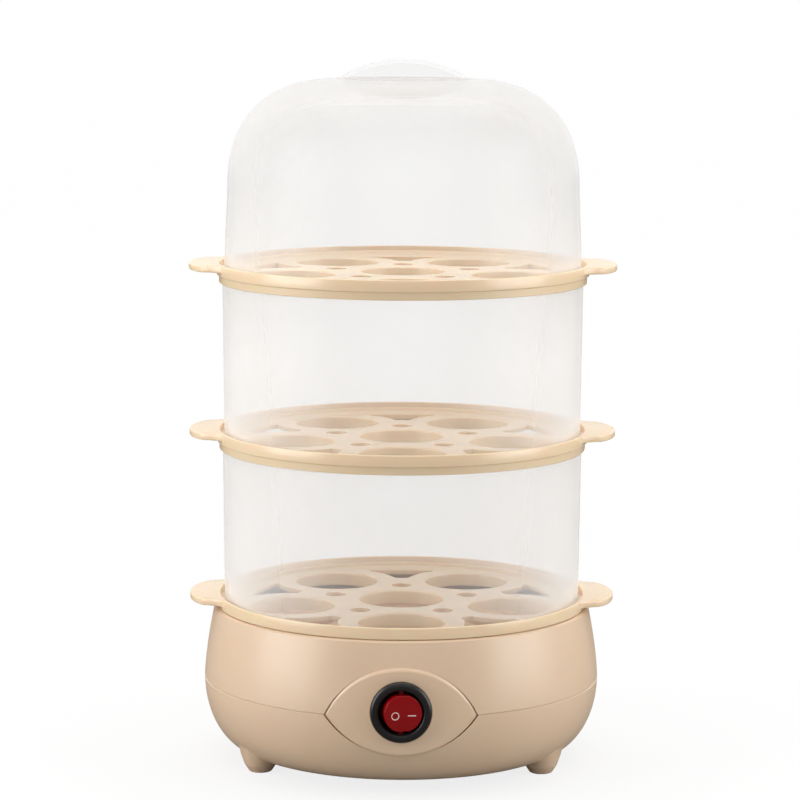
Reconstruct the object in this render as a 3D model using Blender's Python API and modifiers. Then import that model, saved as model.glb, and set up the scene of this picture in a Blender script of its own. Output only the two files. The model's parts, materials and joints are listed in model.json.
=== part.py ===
"""Three-tier electric egg boiler: base with a heating dish, three egg trays, two clear rings and a clear lid.

Lengths are metres and angles are degrees. +Z is up, the origin lies on the ground under the middle of the
boiler, and the switch faces -Y. Each tier stands on the one below, and is parented to it.
"""

import math

import bmesh
import bpy
from mathutils import Matrix, Vector

# Driving dimensions of the whole boiler
BODY_SWELL = 0.0042
BOWL_HEIGHT = 0.0292
FLOOR_HEIGHT = 0.0046
BOWL_REACH = 0.0186
BAND_HEIGHT = 0.0298
MOUTH_RIM_WALL = 0.0018
TAPER_POWER = 1.5
BOWL_STEPS = 6
BOWL_INNER_STEPS = 4
SHELL_WALL = 0.0024
FIT_GAP = 0.0003
OVERRUN = 0.0020
JOIN_OVERLAP = 0.00005
TURN_STEPS = 30
SMALL_STEPS = 12
WELD_DISTANCE = 0.00001
SMOOTH_ANGLE = math.radians(32)
FLAT_ANGLE = math.radians(0.5)

# Clear rings
RING_TOP_RADIUS = 0.0739
RING_TAPER = 0.0007
RING_HEIGHT = 0.0661
CLEAR_WALL = 0.0016

# Egg trays, with heights counted from the shoulder that rests on the piece below
TRAY_SHOULDER = 0.0010
TRAY_LIP_WALL = 0.0013
TRAY_BAND_HEIGHT = 0.0047
TRAY_EDGE_BREAK = 0.0004
SKIRT_HEIGHT = 0.0033
SKIRT_WALL = 0.0011
SKIRT_CHAMFER = 0.0008
GROOVE_DEPTH = 0.0026
GROOVE_FLOOR_WALL = 0.0017
LEDGE_DROP = 0.0016
LEDGE_WIDTH = 0.0016
PLATE_DROP = 0.0037
PLATE_WALL = 0.0018
COVE_DROP_WIDTH = 0.0013
COVE_WIDTH = 0.0031
COVE_RISE = 0.0008
EAR_REACH = 0.0120
EAR_HALF_WIDTH = 0.0220
EAR_FLARE = 0.0035
EAR_FLARE_ANGLE = 62
EAR_THICKNESS = 0.0028
EGG_COUNT = 5
FIRST_EGG_ANGLE = -90
EGG_RIM_WEB = 0.0011
EGG_WEB = 0.0126
EGG_HOLE_STEPS = 12
EGG_SEAT_CHAMFER = 0.0007
COLLAR_WALL = 0.0014
COLLAR_HEIGHT = 0.0053
STEAM_HOLE_RADIUS = 0.00425
STEAM_HOLE_STEPS = 8
STEAM_INSET = 0.0182
WINDOW_RIM_WEB = 0.0031
WINDOW_DEPTH = 0.0176
WINDOW_WEB = 0.0084

# Lid, with heights counted from its rim
LID_TAPER = 0.0014
LID_SIDE_HEIGHT = 0.0319
LID_HEIGHT = 0.0769
LID_SHOULDER_POWER = 2.4
LID_SHOULDER_STEPS = 7
RECESS_RADIUS = 0.0264
RECESS_DEPTH = 0.0066
RECESS_STEPS = 5
HANDLE_HALF_LENGTH = 0.0272
HANDLE_RISE = 0.0082
HANDLE_WIDTH = 0.0086
HANDLE_EDGE = 0.0011
HANDLE_WALL = 0.0018
HANDLE_STEPS = 8

# Upper shell
MOUTH_CHAMFER = 0.0005
MOUTH_DEPTH = 0.0095
MOUTH_LEDGE_WIDTH = 0.0131
LEDGE_WALL = 0.0022
SEAM_LIP_HEIGHT = 0.0021
SEAM_LIP_WALL = 0.0010

# Eye-shaped switch boss, whose corners lie on the seam
BOSS_HALF_WIDTH = 0.0304
BOSS_RISE = 0.0197
BOSS_DROP = 0.0157
BOSS_SETBACK = 0.0006
BOSS_FACE_RADIUS = 0.0860
BOSS_DEPTH = 0.0105
BOSS_FILLET = 0.0013
BOSS_WALL = 0.0024
BOSS_STATIONS = 6
BOSS_SPREAD = 72
BOSS_SIDE_SHARE = 0.3
BOSS_FACE_SHARE = 0.7
EDGE_STEPS = 2

# Feet and the screws that close the base
FOOT_ANGLES = (-150, -30, 90)
FOOT_INSET = 0.0156
FOOT_STEPS = 16
FOOT_SOLE_RADIUS = 0.0045
FOOT_TOE_RADIUS = 0.0065
FOOT_TOE_HEIGHT = 0.0031
FOOT_ANKLE_RADIUS = 0.0080
FOOT_ANKLE_RISE = 0.0027
FOOT_TOP_RADIUS = 0.0097
FOOT_TOP_RISE = 0.0098
SCREW_RECESS_RADIUS = 0.0031
SCREW_SEAT_WALL = 0.0020
SCREW_HEAD_RADIUS = 0.0027
SCREW_HEAD_HEIGHT = 0.0018
SCREW_SLOT_WIDTH = 0.0008
SCREW_SLOT_DEPTH = 0.0006
SCREW_RADIUS = 0.0015
SCREW_LENGTH = 0.0210
POST_RADIUS = 0.0042
POST_TUBE_HEIGHT = 0.0070

# Vent slots in the floor
VENT_COUNT = 8
VENT_PITCH_RADIUS = 0.0330
VENT_LENGTH = 0.0140
VENT_WIDTH = 0.0030

# Heating dish and its seal
DISH_WALL = 0.0008
DISH_DEPTH = 0.0097
DISH_FLAT_RADIUS = 0.0280
DISH_FLOOR_INSET = 0.0052
DISH_FLOOR_RISE = 0.0011
DISH_BEND_INSET = 0.0016
DISH_BEND_RISE = 0.0029
DISH_SIDE_INSET = 0.0020
DISH_SIDE_DROP = 0.0024
DISH_SIDE_GAP = 0.0003
SEAL_WALL = 0.0015
SEAL_LIP_WALL = 0.0010
SEAL_LIP_HEIGHT = 0.0020
SEAL_INSET = 0.0015
STUD_RADIUS = 0.0019
STUD_SPAN = 0.0500
STUD_LENGTH = 0.0136

# Heater, and the clamp that presses it, the thermostat and the fuse against the dish
HEATER_LENGTH = 0.0360
HEATER_WIDTH = 0.0240
HEATER_HEIGHT = 0.0080
HEATER_CENTRE_Y = 0.0080
HEATER_TAB_Y = 0.0010
HEATER_TAB_LENGTH = 0.0040
CLAMP_WALL = 0.0012
CLAMP_LENGTH = 0.0600
CLAMP_BAR_WIDTH = 0.0140
CLAMP_TONGUE_WIDTH = 0.0120
CLAMP_TONGUE_BACK_Y = 0.0340
CLAMP_TONGUE_FRONT_Y = -0.0300
NUT_RADIUS = 0.0034
NUT_HEIGHT = 0.0024
NUT_SIDES = 6
THERMOSTAT_RADIUS = 0.0080
THERMOSTAT_CUP_RADIUS = 0.0068
THERMOSTAT_HEIGHT = 0.0080
THERMOSTAT_CUP_HEIGHT = 0.0022
THERMOSTAT_CENTRE_Y = -0.0220
THERMOSTAT_TAB_LENGTH = 0.0060
TAB_WIDTH = 0.0040
TAB_WALL = 0.0008
TAB_RISE = 0.0020
FUSE_RADIUS = 0.0024
FUSE_LENGTH = 0.0180
FUSE_NECK_RADIUS = 0.0013
FUSE_NECK_LENGTH = 0.0015
FUSE_CENTRE_Y = 0.0280

# Round rocker switch, with depths counted back from the panel that its bezel stands on
SWITCH_RISE = 0.0024
SWITCH_STEPS = 20
BEZEL_RADIUS = 0.01225
BEZEL_HEIGHT = 0.0020
BEZEL_ROUNDING = 0.0010
BEZEL_MOUTH_CHAMFER = 0.0005
SWITCH_CAVITY_RADIUS = 0.0087
SWITCH_CAVITY_DEPTH = 0.0105
SWITCH_BODY_RADIUS = 0.0100
SWITCH_BODY_DEPTH = 0.0215
CLIP_WIDTH = 0.0050
CLIP_HEIGHT = 0.0011
CLIP_LENGTH = 0.0060
HINGE_DEPTH = 0.0015
ROCKER_RADIUS = 0.0075
ROCKER_HALF_HEIGHT = 0.0071
ROCKER_RISE = 0.0044
ROCKER_BACK = 0.0025
ROCKER_WALL = 0.0014
ROCKER_FACE_ANGLE = 6
ROCKER_TILT = 10
ROCKER_STEPS = 28
PIN_RADIUS = 0.0012
PIN_REACH = 0.0093
LAMP_RADIUS = 0.0018
LAMP_LENGTH = 0.0085
LAMP_STEPS = 10
TERMINAL_PITCH = 0.0060
TERMINAL_SEAT = 0.0025
TERMINAL_LENGTH = 0.0105
TERMINAL_WIDTH = 0.0048
TERMINAL_WALL = 0.0008

# Cord gland in the seam at the rear, and the cap that joins two of the wires
GLAND_ANGLE = 82
GLAND_STEPS = 16
GLAND_BORE_RADIUS = 0.0040
GLAND_NECK_RADIUS = 0.0052
GLAND_NOSE_RADIUS = 0.0056
GLAND_FLANGE_RADIUS = 0.0069
GLAND_FLANGE_WALL = 0.0016
GLAND_BACK_GAP = 0.0016
GLAND_BACK_WALL = 0.0018
WIRE_RADIUS = 0.0011
WIRE_SPACING = 0.0080
WIRE_LEAD = 0.0022
CAP_RADIUS = 0.0033
CAP_WALL = 0.0006
CAP_LENGTH = 0.0140
CAP_BORE_DEPTH = 0.0090
CAP_MOUTH_X = -0.0280
CAP_CENTRE_Y = 0.0460

# Bends of the wires between their two ends, chosen by hand so that they hang clear of the pieces around them
WIRE_BENDS = {
    "wire_switch_to_thermostat": [
        (0.0140, -0.0440, 0.0355),
        (0.0220, -0.0370, 0.0360),
        (0.0245, -0.0275, 0.0390),
    ],
    "wire_thermostat_to_heater": [
        (-0.0270, -0.0160, 0.0400),
        (-0.0305, -0.0060, 0.0400),
    ],
    "wire_heater_to_fuse": [
        (0.0335, 0.0080, 0.0410),
        (0.0330, 0.0190, 0.0415),
        (0.0240, 0.0270, 0.0412),
    ],
    "wire_fuse_to_joint": [
        (-0.0200, 0.0285, 0.0375),
        (-0.0280, 0.0320, 0.0310),
        (-0.0370, 0.0410, 0.0190),
        (-0.0360, 0.0465, 0.0125),
    ],
    "wire_switch_to_joint": [
        (-0.0090, -0.0445, 0.0310),
        (-0.0160, -0.0380, 0.0220),
        (-0.0300, -0.0260, 0.0120),
        (-0.0430, -0.0050, 0.0100),
        (-0.0470, 0.0150, 0.0100),
        (-0.0440, 0.0340, 0.0100),
        (-0.0360, 0.0430, 0.0104),
    ],
}

# Sizes that follow from those above
SEAM_HEIGHT = FLOOR_HEIGHT + BOWL_HEIGHT
BASE_TOP_HEIGHT = SEAM_HEIGHT + BAND_HEIGHT
LEDGE_HEIGHT = BASE_TOP_HEIGHT - MOUTH_DEPTH
SWITCH_HEIGHT = SEAM_HEIGHT + SWITCH_RISE
FLOOR_TOP = FLOOR_HEIGHT + SHELL_WALL
FOOT_ANKLE_HEIGHT = FLOOR_HEIGHT + FOOT_ANKLE_RISE
FOOT_TOP_HEIGHT = FLOOR_HEIGHT + FOOT_TOP_RISE
SCREW_SEAT_HEIGHT = FLOOR_TOP + SCREW_SEAT_WALL
POST_SPLIT_HEIGHT = SCREW_SEAT_HEIGHT + POST_TUBE_HEIGHT
RING_BOTTOM_RADIUS = RING_TOP_RADIUS - RING_TAPER
LID_RIM_RADIUS = RING_BOTTOM_RADIUS
LID_SIDE_RADIUS = LID_RIM_RADIUS - LID_TAPER
TRAY_RIM_RADIUS = RING_TOP_RADIUS + FIT_GAP + SKIRT_WALL + TRAY_SHOULDER
GROOVE_OUTER_RADIUS = TRAY_RIM_RADIUS - TRAY_LIP_WALL
GROOVE_INNER_RADIUS = RING_BOTTOM_RADIUS - CLEAR_WALL - FIT_GAP
SKIRT_INNER_RADIUS = RING_TOP_RADIUS + FIT_GAP
SKIRT_RADIUS = SKIRT_INNER_RADIUS + SKIRT_WALL
LEDGE_RADIUS = GROOVE_INNER_RADIUS - LEDGE_WIDTH
COVE_RADIUS = LEDGE_RADIUS - COVE_DROP_WIDTH
PLATE_RADIUS = COVE_RADIUS - COVE_WIDTH
EGG_HOLE_RADIUS = (PLATE_RADIUS - EGG_RIM_WEB - EGG_WEB) / 3
WINDOW_OUTER_RADIUS = PLATE_RADIUS - WINDOW_RIM_WEB
WINDOW_INNER_RADIUS = WINDOW_OUTER_RADIUS - WINDOW_DEPTH
EGG_PITCH_RADIUS = PLATE_RADIUS - EGG_RIM_WEB - EGG_HOLE_RADIUS
STEAM_PITCH_RADIUS = EGG_PITCH_RADIUS - STEAM_INSET
CHANNEL_INNER_RADIUS = RING_TOP_RADIUS - CLEAR_WALL - FIT_GAP
GROOVE_FLOOR = TRAY_BAND_HEIGHT - GROOVE_DEPTH
CHANNEL_ROOF = GROOVE_FLOOR - GROOVE_FLOOR_WALL
PLATE_TOP = TRAY_BAND_HEIGHT - PLATE_DROP
PLATE_BOTTOM = PLATE_TOP - PLATE_WALL
MOUTH_RADIUS = SKIRT_RADIUS + FIT_GAP
BASE_TOP_RADIUS = MOUTH_RADIUS + MOUTH_RIM_WALL
BODY_RADIUS = BASE_TOP_RADIUS + BODY_SWELL
FLOOR_RADIUS = BODY_RADIUS - BOWL_REACH
FOOT_PITCH_RADIUS = BODY_RADIUS - FOOT_INSET
LEDGE_INNER_RADIUS = MOUTH_RADIUS - MOUTH_LEDGE_WIDTH
SEAL_INNER_RADIUS = LEDGE_INNER_RADIUS + SEAL_INSET
DISH_BRIM_RADIUS = LEDGE_INNER_RADIUS - DISH_SIDE_GAP
DISH_SIDE_RADIUS = DISH_BRIM_RADIUS - DISH_SIDE_INSET
DISH_BEND_RADIUS = DISH_SIDE_RADIUS - DISH_BEND_INSET
DISH_FLOOR_RADIUS = DISH_BRIM_RADIUS - DISH_SIDE_INSET - DISH_FLOOR_INSET
SEAL_TOP = LEDGE_HEIGHT + FIT_GAP + SEAL_WALL
BRIM_TOP = SEAL_TOP + FIT_GAP + DISH_WALL
DISH_RADIUS = MOUTH_RADIUS - FIT_GAP - SEAL_LIP_WALL - FIT_GAP
DISH_UNDERSIDE = BRIM_TOP - DISH_DEPTH - DISH_WALL
CLAMP_TOP = DISH_UNDERSIDE - FIT_GAP - HEATER_HEIGHT - FIT_GAP
CLAMP_BOTTOM = CLAMP_TOP - CLAMP_WALL
TAB_HEIGHT = CLAMP_TOP + FIT_GAP + TAB_RISE
FUSE_HEIGHT = CLAMP_TOP + FIT_GAP + FUSE_RADIUS
CAP_HEIGHT = FLOOR_TOP + FIT_GAP + CAP_RADIUS
SCREW_HOLE_RADIUS = SCREW_RADIUS + FIT_GAP
PANEL_Y = BOSS_SETBACK - BODY_RADIUS
HINGE_Y = PANEL_Y + HINGE_DEPTH
ROCKER_EDGE_RISE = ROCKER_RISE + ROCKER_RADIUS * math.tan(math.radians(ROCKER_FACE_ANGLE))
SWITCH_BACK_Y = PANEL_Y + SWITCH_BODY_DEPTH
TERMINAL_END_Y = SWITCH_BACK_Y - TERMINAL_SEAT + TERMINAL_LENGTH
RECESS_CURVE = (RECESS_RADIUS**2 + RECESS_DEPTH**2) / (2 * RECESS_DEPTH)
RECESS_CENTRE = LID_HEIGHT - RECESS_DEPTH + RECESS_CURVE


def clear_scene():
    for obj in list(bpy.data.objects):
        bpy.data.objects.remove(obj, do_unlink=True)


def new_collection(name):
    collection = bpy.data.collections.new(name)
    bpy.context.scene.collection.children.link(collection)
    return collection


def new_material(name, colour, roughness, metallic=0.0, transmission=0.0):
    material = bpy.data.materials.new(name)
    material.use_nodes = True
    shader = material.node_tree.nodes["Principled BSDF"]
    shader.inputs["Base Color"].default_value = (*colour, 1.0)
    shader.inputs["Roughness"].default_value = roughness
    shader.inputs["Metallic"].default_value = metallic
    shader.inputs["Transmission Weight"].default_value = transmission
    material.diffuse_color = (*colour, 1.0)
    return material


def polar(radius, degrees):
    return radius * math.cos(math.radians(degrees)), radius * math.sin(math.radians(degrees))


def arc(centre, radius, start, end, steps):
    """Points of an arc in a plane, from the start angle to the end angle."""
    points = []
    for step in range(steps + 1):
        x, y = polar(radius, start + (end - start) * step / steps)
        points.append((centre[0] + x, centre[1] + y))
    return points


def add_object(name, mesh, collection, location=(0, 0, 0), rotation=(0, 0, 0)):
    obj = bpy.data.objects.new(name, mesh)
    collection.objects.link(obj)
    obj.location = location
    obj.rotation_euler = [math.radians(angle) for angle in rotation]
    return obj


def add_tool(name, mesh, location=(0, 0, 0), rotation=(0, 0, 0)):
    """A helper that cuts or joins a part, and is gone once the part is settled."""
    tool = add_object(name, mesh, bpy.context.scene.collection, location, rotation)
    tool.hide_render = True
    tool.display_type = "WIRE"
    return tool


def finish_mesh(bm, name):
    bmesh.ops.recalc_face_normals(bm, faces=bm.faces)
    mesh = bpy.data.meshes.new(name)
    bm.to_mesh(mesh)
    bm.free()
    return mesh


def profile_mesh(name, outline, closed):
    """A profile of (radius, height) points at +X, which runs down its outer side from top to bottom."""
    bm = bmesh.new()
    corners = [bm.verts.new((radius, 0, height)) for radius, height in outline]
    for first, second in zip(corners, corners[1:]):
        bm.edges.new((first, second))
    if closed:
        bm.edges.new((corners[-1], corners[0]))
    mesh = bpy.data.meshes.new(name)
    bm.to_mesh(mesh)
    bm.free()
    return mesh


def turn(obj, steps):
    screw = obj.modifiers.new("turn", "SCREW")
    screw.axis = "Z"
    screw.angle = math.tau
    screw.steps = steps
    screw.render_steps = steps
    screw.use_merge_vertices = True
    screw.merge_threshold = WELD_DISTANCE


def turned_part(name, outline, closed, collection, steps=TURN_STEPS, location=(0, 0, 0), rotation=(0, 0, 0)):
    part = add_object(name, profile_mesh(name, outline, closed), collection, location, rotation)
    turn(part, steps)
    return part


def turned_tool(name, outline, steps=SMALL_STEPS, location=(0, 0, 0)):
    tool = add_tool(name, profile_mesh(name, outline, False), location)
    turn(tool, steps)
    return tool


def cylinder_mesh(name, radius, low, high, places=((0, 0),), steps=SMALL_STEPS, top_radius=None):
    """Upright cylinders at the given places, or cones where a top radius is given."""
    bm = bmesh.new()
    for x, y in places:
        bmesh.ops.create_cone(
            bm,
            cap_ends=True,
            segments=steps,
            radius1=radius,
            radius2=radius if top_radius is None else top_radius,
            depth=high - low,
            matrix=Matrix.Translation((x, y, (low + high) / 2)),
        )
    return finish_mesh(bm, name)


def add_box(bm, low, high):
    size = Vector(high) - Vector(low)
    middle = Matrix.Translation((Vector(high) + Vector(low)) / 2)
    bmesh.ops.create_cube(bm, size=1, matrix=middle @ Matrix.Diagonal((*size, 1)))


def box_mesh(name, low, high):
    bm = bmesh.new()
    add_box(bm, low, high)
    return finish_mesh(bm, name)


def mesh_of_curve(name, curve):
    guide = bpy.data.objects.new(name, curve)
    bpy.context.scene.collection.objects.link(guide)
    graph = bpy.context.evaluated_depsgraph_get()
    mesh = bpy.data.meshes.new_from_object(guide.evaluated_get(graph))
    bpy.data.objects.remove(guide, do_unlink=True)
    bm = bmesh.new()
    bm.from_mesh(mesh)
    bmesh.ops.remove_doubles(bm, verts=bm.verts, dist=WELD_DISTANCE)
    bmesh.ops.dissolve_limit(bm, angle_limit=FLAT_ANGLE, verts=bm.verts, edges=bm.edges)
    bmesh.ops.recalc_face_normals(bm, faces=bm.faces)
    bm.to_mesh(mesh)
    bm.free()
    return mesh


def prism_mesh(name, outlines, low, high):
    """Flat outlines in the XY plane, filled and given a height."""
    curve = bpy.data.curves.new(name, "CURVE")
    curve.dimensions = "2D"
    curve.fill_mode = "BOTH"
    curve.extrude = (high - low) / 2
    for outline in outlines:
        spline = curve.splines.new("POLY")
        spline.points.add(len(outline) - 1)
        for point, (x, y) in zip(spline.points, outline):
            point.co = (x, y, 0, 1)
        spline.use_cyclic_u = True
    mesh = mesh_of_curve(name, curve)
    mesh.transform(Matrix.Translation((0, 0, (low + high) / 2)))
    return mesh


def facing_front(mesh):
    """Stands a flat shape up in the XZ plane, with its height pointing to the front, along -Y."""
    mesh.transform(Matrix.Rotation(math.radians(90), 4, "X"))
    return mesh


def combine(part, tool, operation="DIFFERENCE"):
    modifier = part.modifiers.new(tool.name, "BOOLEAN")
    modifier.operation = operation
    modifier.solver = "EXACT"
    modifier.object = tool


def settle(part, material):
    """Gives the part the mesh that its modifiers make, clears its tools away and shades it smooth."""
    bpy.context.view_layer.update()
    graph = bpy.context.evaluated_depsgraph_get()
    mesh = bpy.data.meshes.new_from_object(part.evaluated_get(graph))
    mesh.name = part.name
    tools = [modifier.object for modifier in part.modifiers if modifier.type == "BOOLEAN"]
    part.modifiers.clear()
    for tool in tools:
        bpy.data.objects.remove(tool, do_unlink=True)
    bm = bmesh.new()
    bm.from_mesh(mesh)
    bmesh.ops.remove_doubles(bm, verts=bm.verts, dist=WELD_DISTANCE)
    bmesh.ops.dissolve_degenerate(bm, edges=bm.edges, dist=WELD_DISTANCE)
    bm.to_mesh(mesh)
    bm.free()
    mesh.materials.clear()
    mesh.materials.append(material)
    mesh.shade_smooth()
    mesh.set_sharp_from_angle(angle=SMOOTH_ANGLE)
    part.data = mesh
    return part


def body_radius(height):
    """Radius of the base's outer side above the seam, where it tapers gently to the mouth."""
    rise_share = (height - SEAM_HEIGHT) / (BASE_TOP_HEIGHT - SEAM_HEIGHT)
    return BODY_RADIUS - (BODY_RADIUS - BASE_TOP_RADIUS) * rise_share**TAPER_POWER


def bowl_outline(inset, steps):
    """The base's quarter ellipse from the seam down to the floor, moved in by the inset."""
    points = []
    for step in range(steps + 1):
        across, down = polar(1, 90 * step / steps)
        radius = FLOOR_RADIUS + (BODY_RADIUS - FLOOR_RADIUS - inset) * across
        height = SEAM_HEIGHT - (SEAM_HEIGHT - FLOOR_HEIGHT - inset) * down
        points.append((radius, height))
    return points


def foot_places():
    return [polar(FOOT_PITCH_RADIUS, angle) for angle in FOOT_ANGLES]


def eye_heights(x, inset):
    """Heights of the upper and the lower arc of the boss at a distance x from its middle."""
    half_width = BOSS_HALF_WIDTH - inset
    heights = []
    for rise in (BOSS_RISE - inset, BOSS_DROP - inset):
        radius = (half_width**2 + rise**2) / (2 * rise)
        heights.append(math.sqrt(radius**2 - x**2) - radius + rise)
    return SEAM_HEIGHT + heights[0], SEAM_HEIGHT - heights[1]


def eye_stations(inset):
    """Places across the boss, closer together towards its corners."""
    half_width = BOSS_HALF_WIDTH - inset
    widest = math.sin(math.radians(BOSS_SPREAD))
    return [
        half_width * math.sin(math.radians(BOSS_SPREAD * step / BOSS_STATIONS)) / widest
        for step in range(-BOSS_STATIONS, BOSS_STATIONS + 1)
    ]


def boss_sag(x):
    """How far the curved face of the boss lies behind its middle at a distance x from it."""
    return BOSS_FACE_RADIUS - math.sqrt(BOSS_FACE_RADIUS**2 - x**2)


def is_front_rim(edge):
    """True for an edge between the face of the boss and its side."""
    if len(edge.link_faces) != 2:
        return False
    forward_shares = sorted(-face.normal.y for face in edge.link_faces)
    return forward_shares[0] < BOSS_SIDE_SHARE and forward_shares[1] > BOSS_FACE_SHARE


def eye_mesh(name, inset, front_y, back_y, curved, fillet=0.0):
    """The eye outline as a solid between two depths. A curved one follows the face of the boss in front."""
    stations = eye_stations(inset)
    outline = [(x, eye_heights(x, inset)[0]) for x in stations]
    outline += [(x, eye_heights(x, inset)[1]) for x in reversed(stations[1:-1])]
    mesh = facing_front(prism_mesh(name, [outline], -back_y, -front_y))
    bm = bmesh.new()
    bm.from_mesh(mesh)
    if curved:
        for x in stations[1:-1]:
            everything = [*bm.verts, *bm.edges, *bm.faces]
            cut = {"plane_co": (x, 0, 0), "plane_no": (1, 0, 0)}
            bmesh.ops.bisect_plane(bm, geom=everything, dist=WELD_DISTANCE, **cut)
        for vert in bm.verts:
            if vert.co.y < (front_y + back_y) / 2:
                vert.co.y += boss_sag(vert.co.x)
        bm.normal_update()
    if fillet:
        rim = [edge for edge in bm.edges if is_front_rim(edge)]
        rounding = {"offset": fillet, "segments": EDGE_STEPS, "profile": 0.5}
        bmesh.ops.bevel(bm, geom=rim, affect="EDGES", material=-1, **rounding)
    bmesh.ops.recalc_face_normals(bm, faces=bm.faces)
    bm.to_mesh(mesh)
    bm.free()
    return mesh


def gland_hole(name):
    """Both shells are cut by this where the gland's neck passes between them."""
    radius = GLAND_NECK_RADIUS + FIT_GAP
    inner = BODY_RADIUS - SHELL_WALL - OVERRUN
    mesh = cylinder_mesh(name, radius, inner, BODY_RADIUS + OVERRUN, steps=GLAND_STEPS)
    return add_tool(name, mesh, (0, 0, SEAM_HEIGHT), (0, 90, GLAND_ANGLE))


def vent_mesh():
    """Round-ended slots that point at the middle of the floor."""
    radius = VENT_WIDTH / 2
    half_run = VENT_LENGTH / 2 - radius
    slot = arc((half_run, 0), radius, -90, 90, 2) + arc((-half_run, 0), radius, 90, 270, 2)
    outlines = []
    for number in range(VENT_COUNT):
        around = Matrix.Rotation(math.tau * (number + 0.5) / VENT_COUNT, 2)
        outlines.append([around @ Vector((VENT_PITCH_RADIUS + x, y)) for x, y in slot])
    return prism_mesh("vents", outlines, FLOOR_HEIGHT - OVERRUN, FLOOR_TOP + OVERRUN)


def make_lower_shell(parts, plastic):
    lip_inner = BODY_RADIUS - SHELL_WALL
    lip_outer = lip_inner + SEAM_LIP_WALL
    lip_top = SEAM_HEIGHT + SEAM_LIP_HEIGHT
    rim = SEAM_HEIGHT - FIT_GAP / 2
    inner = list(reversed(bowl_outline(SHELL_WALL, BOWL_INNER_STEPS)))
    outer = bowl_outline(0, BOWL_STEPS)[1:]
    outline = [(0, FLOOR_TOP), *inner, (lip_inner, lip_top), (lip_outer, lip_top), (lip_outer, rim)]
    outline += [(BODY_RADIUS, rim), *outer, (0, FLOOR_HEIGHT)]
    shell = turned_part("lower_shell", outline, False, parts)

    foot = [(0, FOOT_TOP_HEIGHT), (FOOT_TOP_RADIUS, FOOT_TOP_HEIGHT), (FOOT_ANKLE_RADIUS, FOOT_ANKLE_HEIGHT)]
    foot += [(FOOT_TOE_RADIUS, FOOT_TOE_HEIGHT), (FOOT_SOLE_RADIUS, 0), (0, 0)]
    for number, (x, y) in enumerate(foot_places(), 1):
        combine(shell, turned_tool(f"foot_{number}", foot, FOOT_STEPS, (x, y, 0)), "UNION")
    room_top = lip_top + OVERRUN
    room_radius = lip_inner - JOIN_OVERLAP
    room = [(0, room_top), (room_radius, room_top), *bowl_outline(SHELL_WALL + JOIN_OVERLAP, BOWL_INNER_STEPS)]
    room += [(0, FLOOR_TOP + JOIN_OVERLAP)]
    combine(shell, turned_tool("room", room, TURN_STEPS))

    tube_bottom = FLOOR_TOP - SHELL_WALL / 2
    tubes = cylinder_mesh("tubes", POST_RADIUS, tube_bottom, POST_SPLIT_HEIGHT, foot_places())
    combine(shell, add_tool("tubes", tubes), "UNION")
    recesses = cylinder_mesh("recesses", SCREW_RECESS_RADIUS, -OVERRUN, SCREW_SEAT_HEIGHT, foot_places())
    combine(shell, add_tool("recesses", recesses))
    top = POST_SPLIT_HEIGHT + OVERRUN
    holes = cylinder_mesh("screw_holes", SCREW_HOLE_RADIUS, -OVERRUN, top, foot_places())
    combine(shell, add_tool("screw_holes", holes))

    combine(shell, add_tool("vents", vent_mesh()))
    clearance = -FIT_GAP - JOIN_OVERLAP
    notch = eye_mesh("notch", clearance, -BODY_RADIUS - OVERRUN, PANEL_Y + BOSS_DEPTH + OVERRUN, False)
    combine(shell, add_tool("notch", notch))
    combine(shell, gland_hole("gland_hole_low"))
    return settle(shell, plastic)


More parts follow.
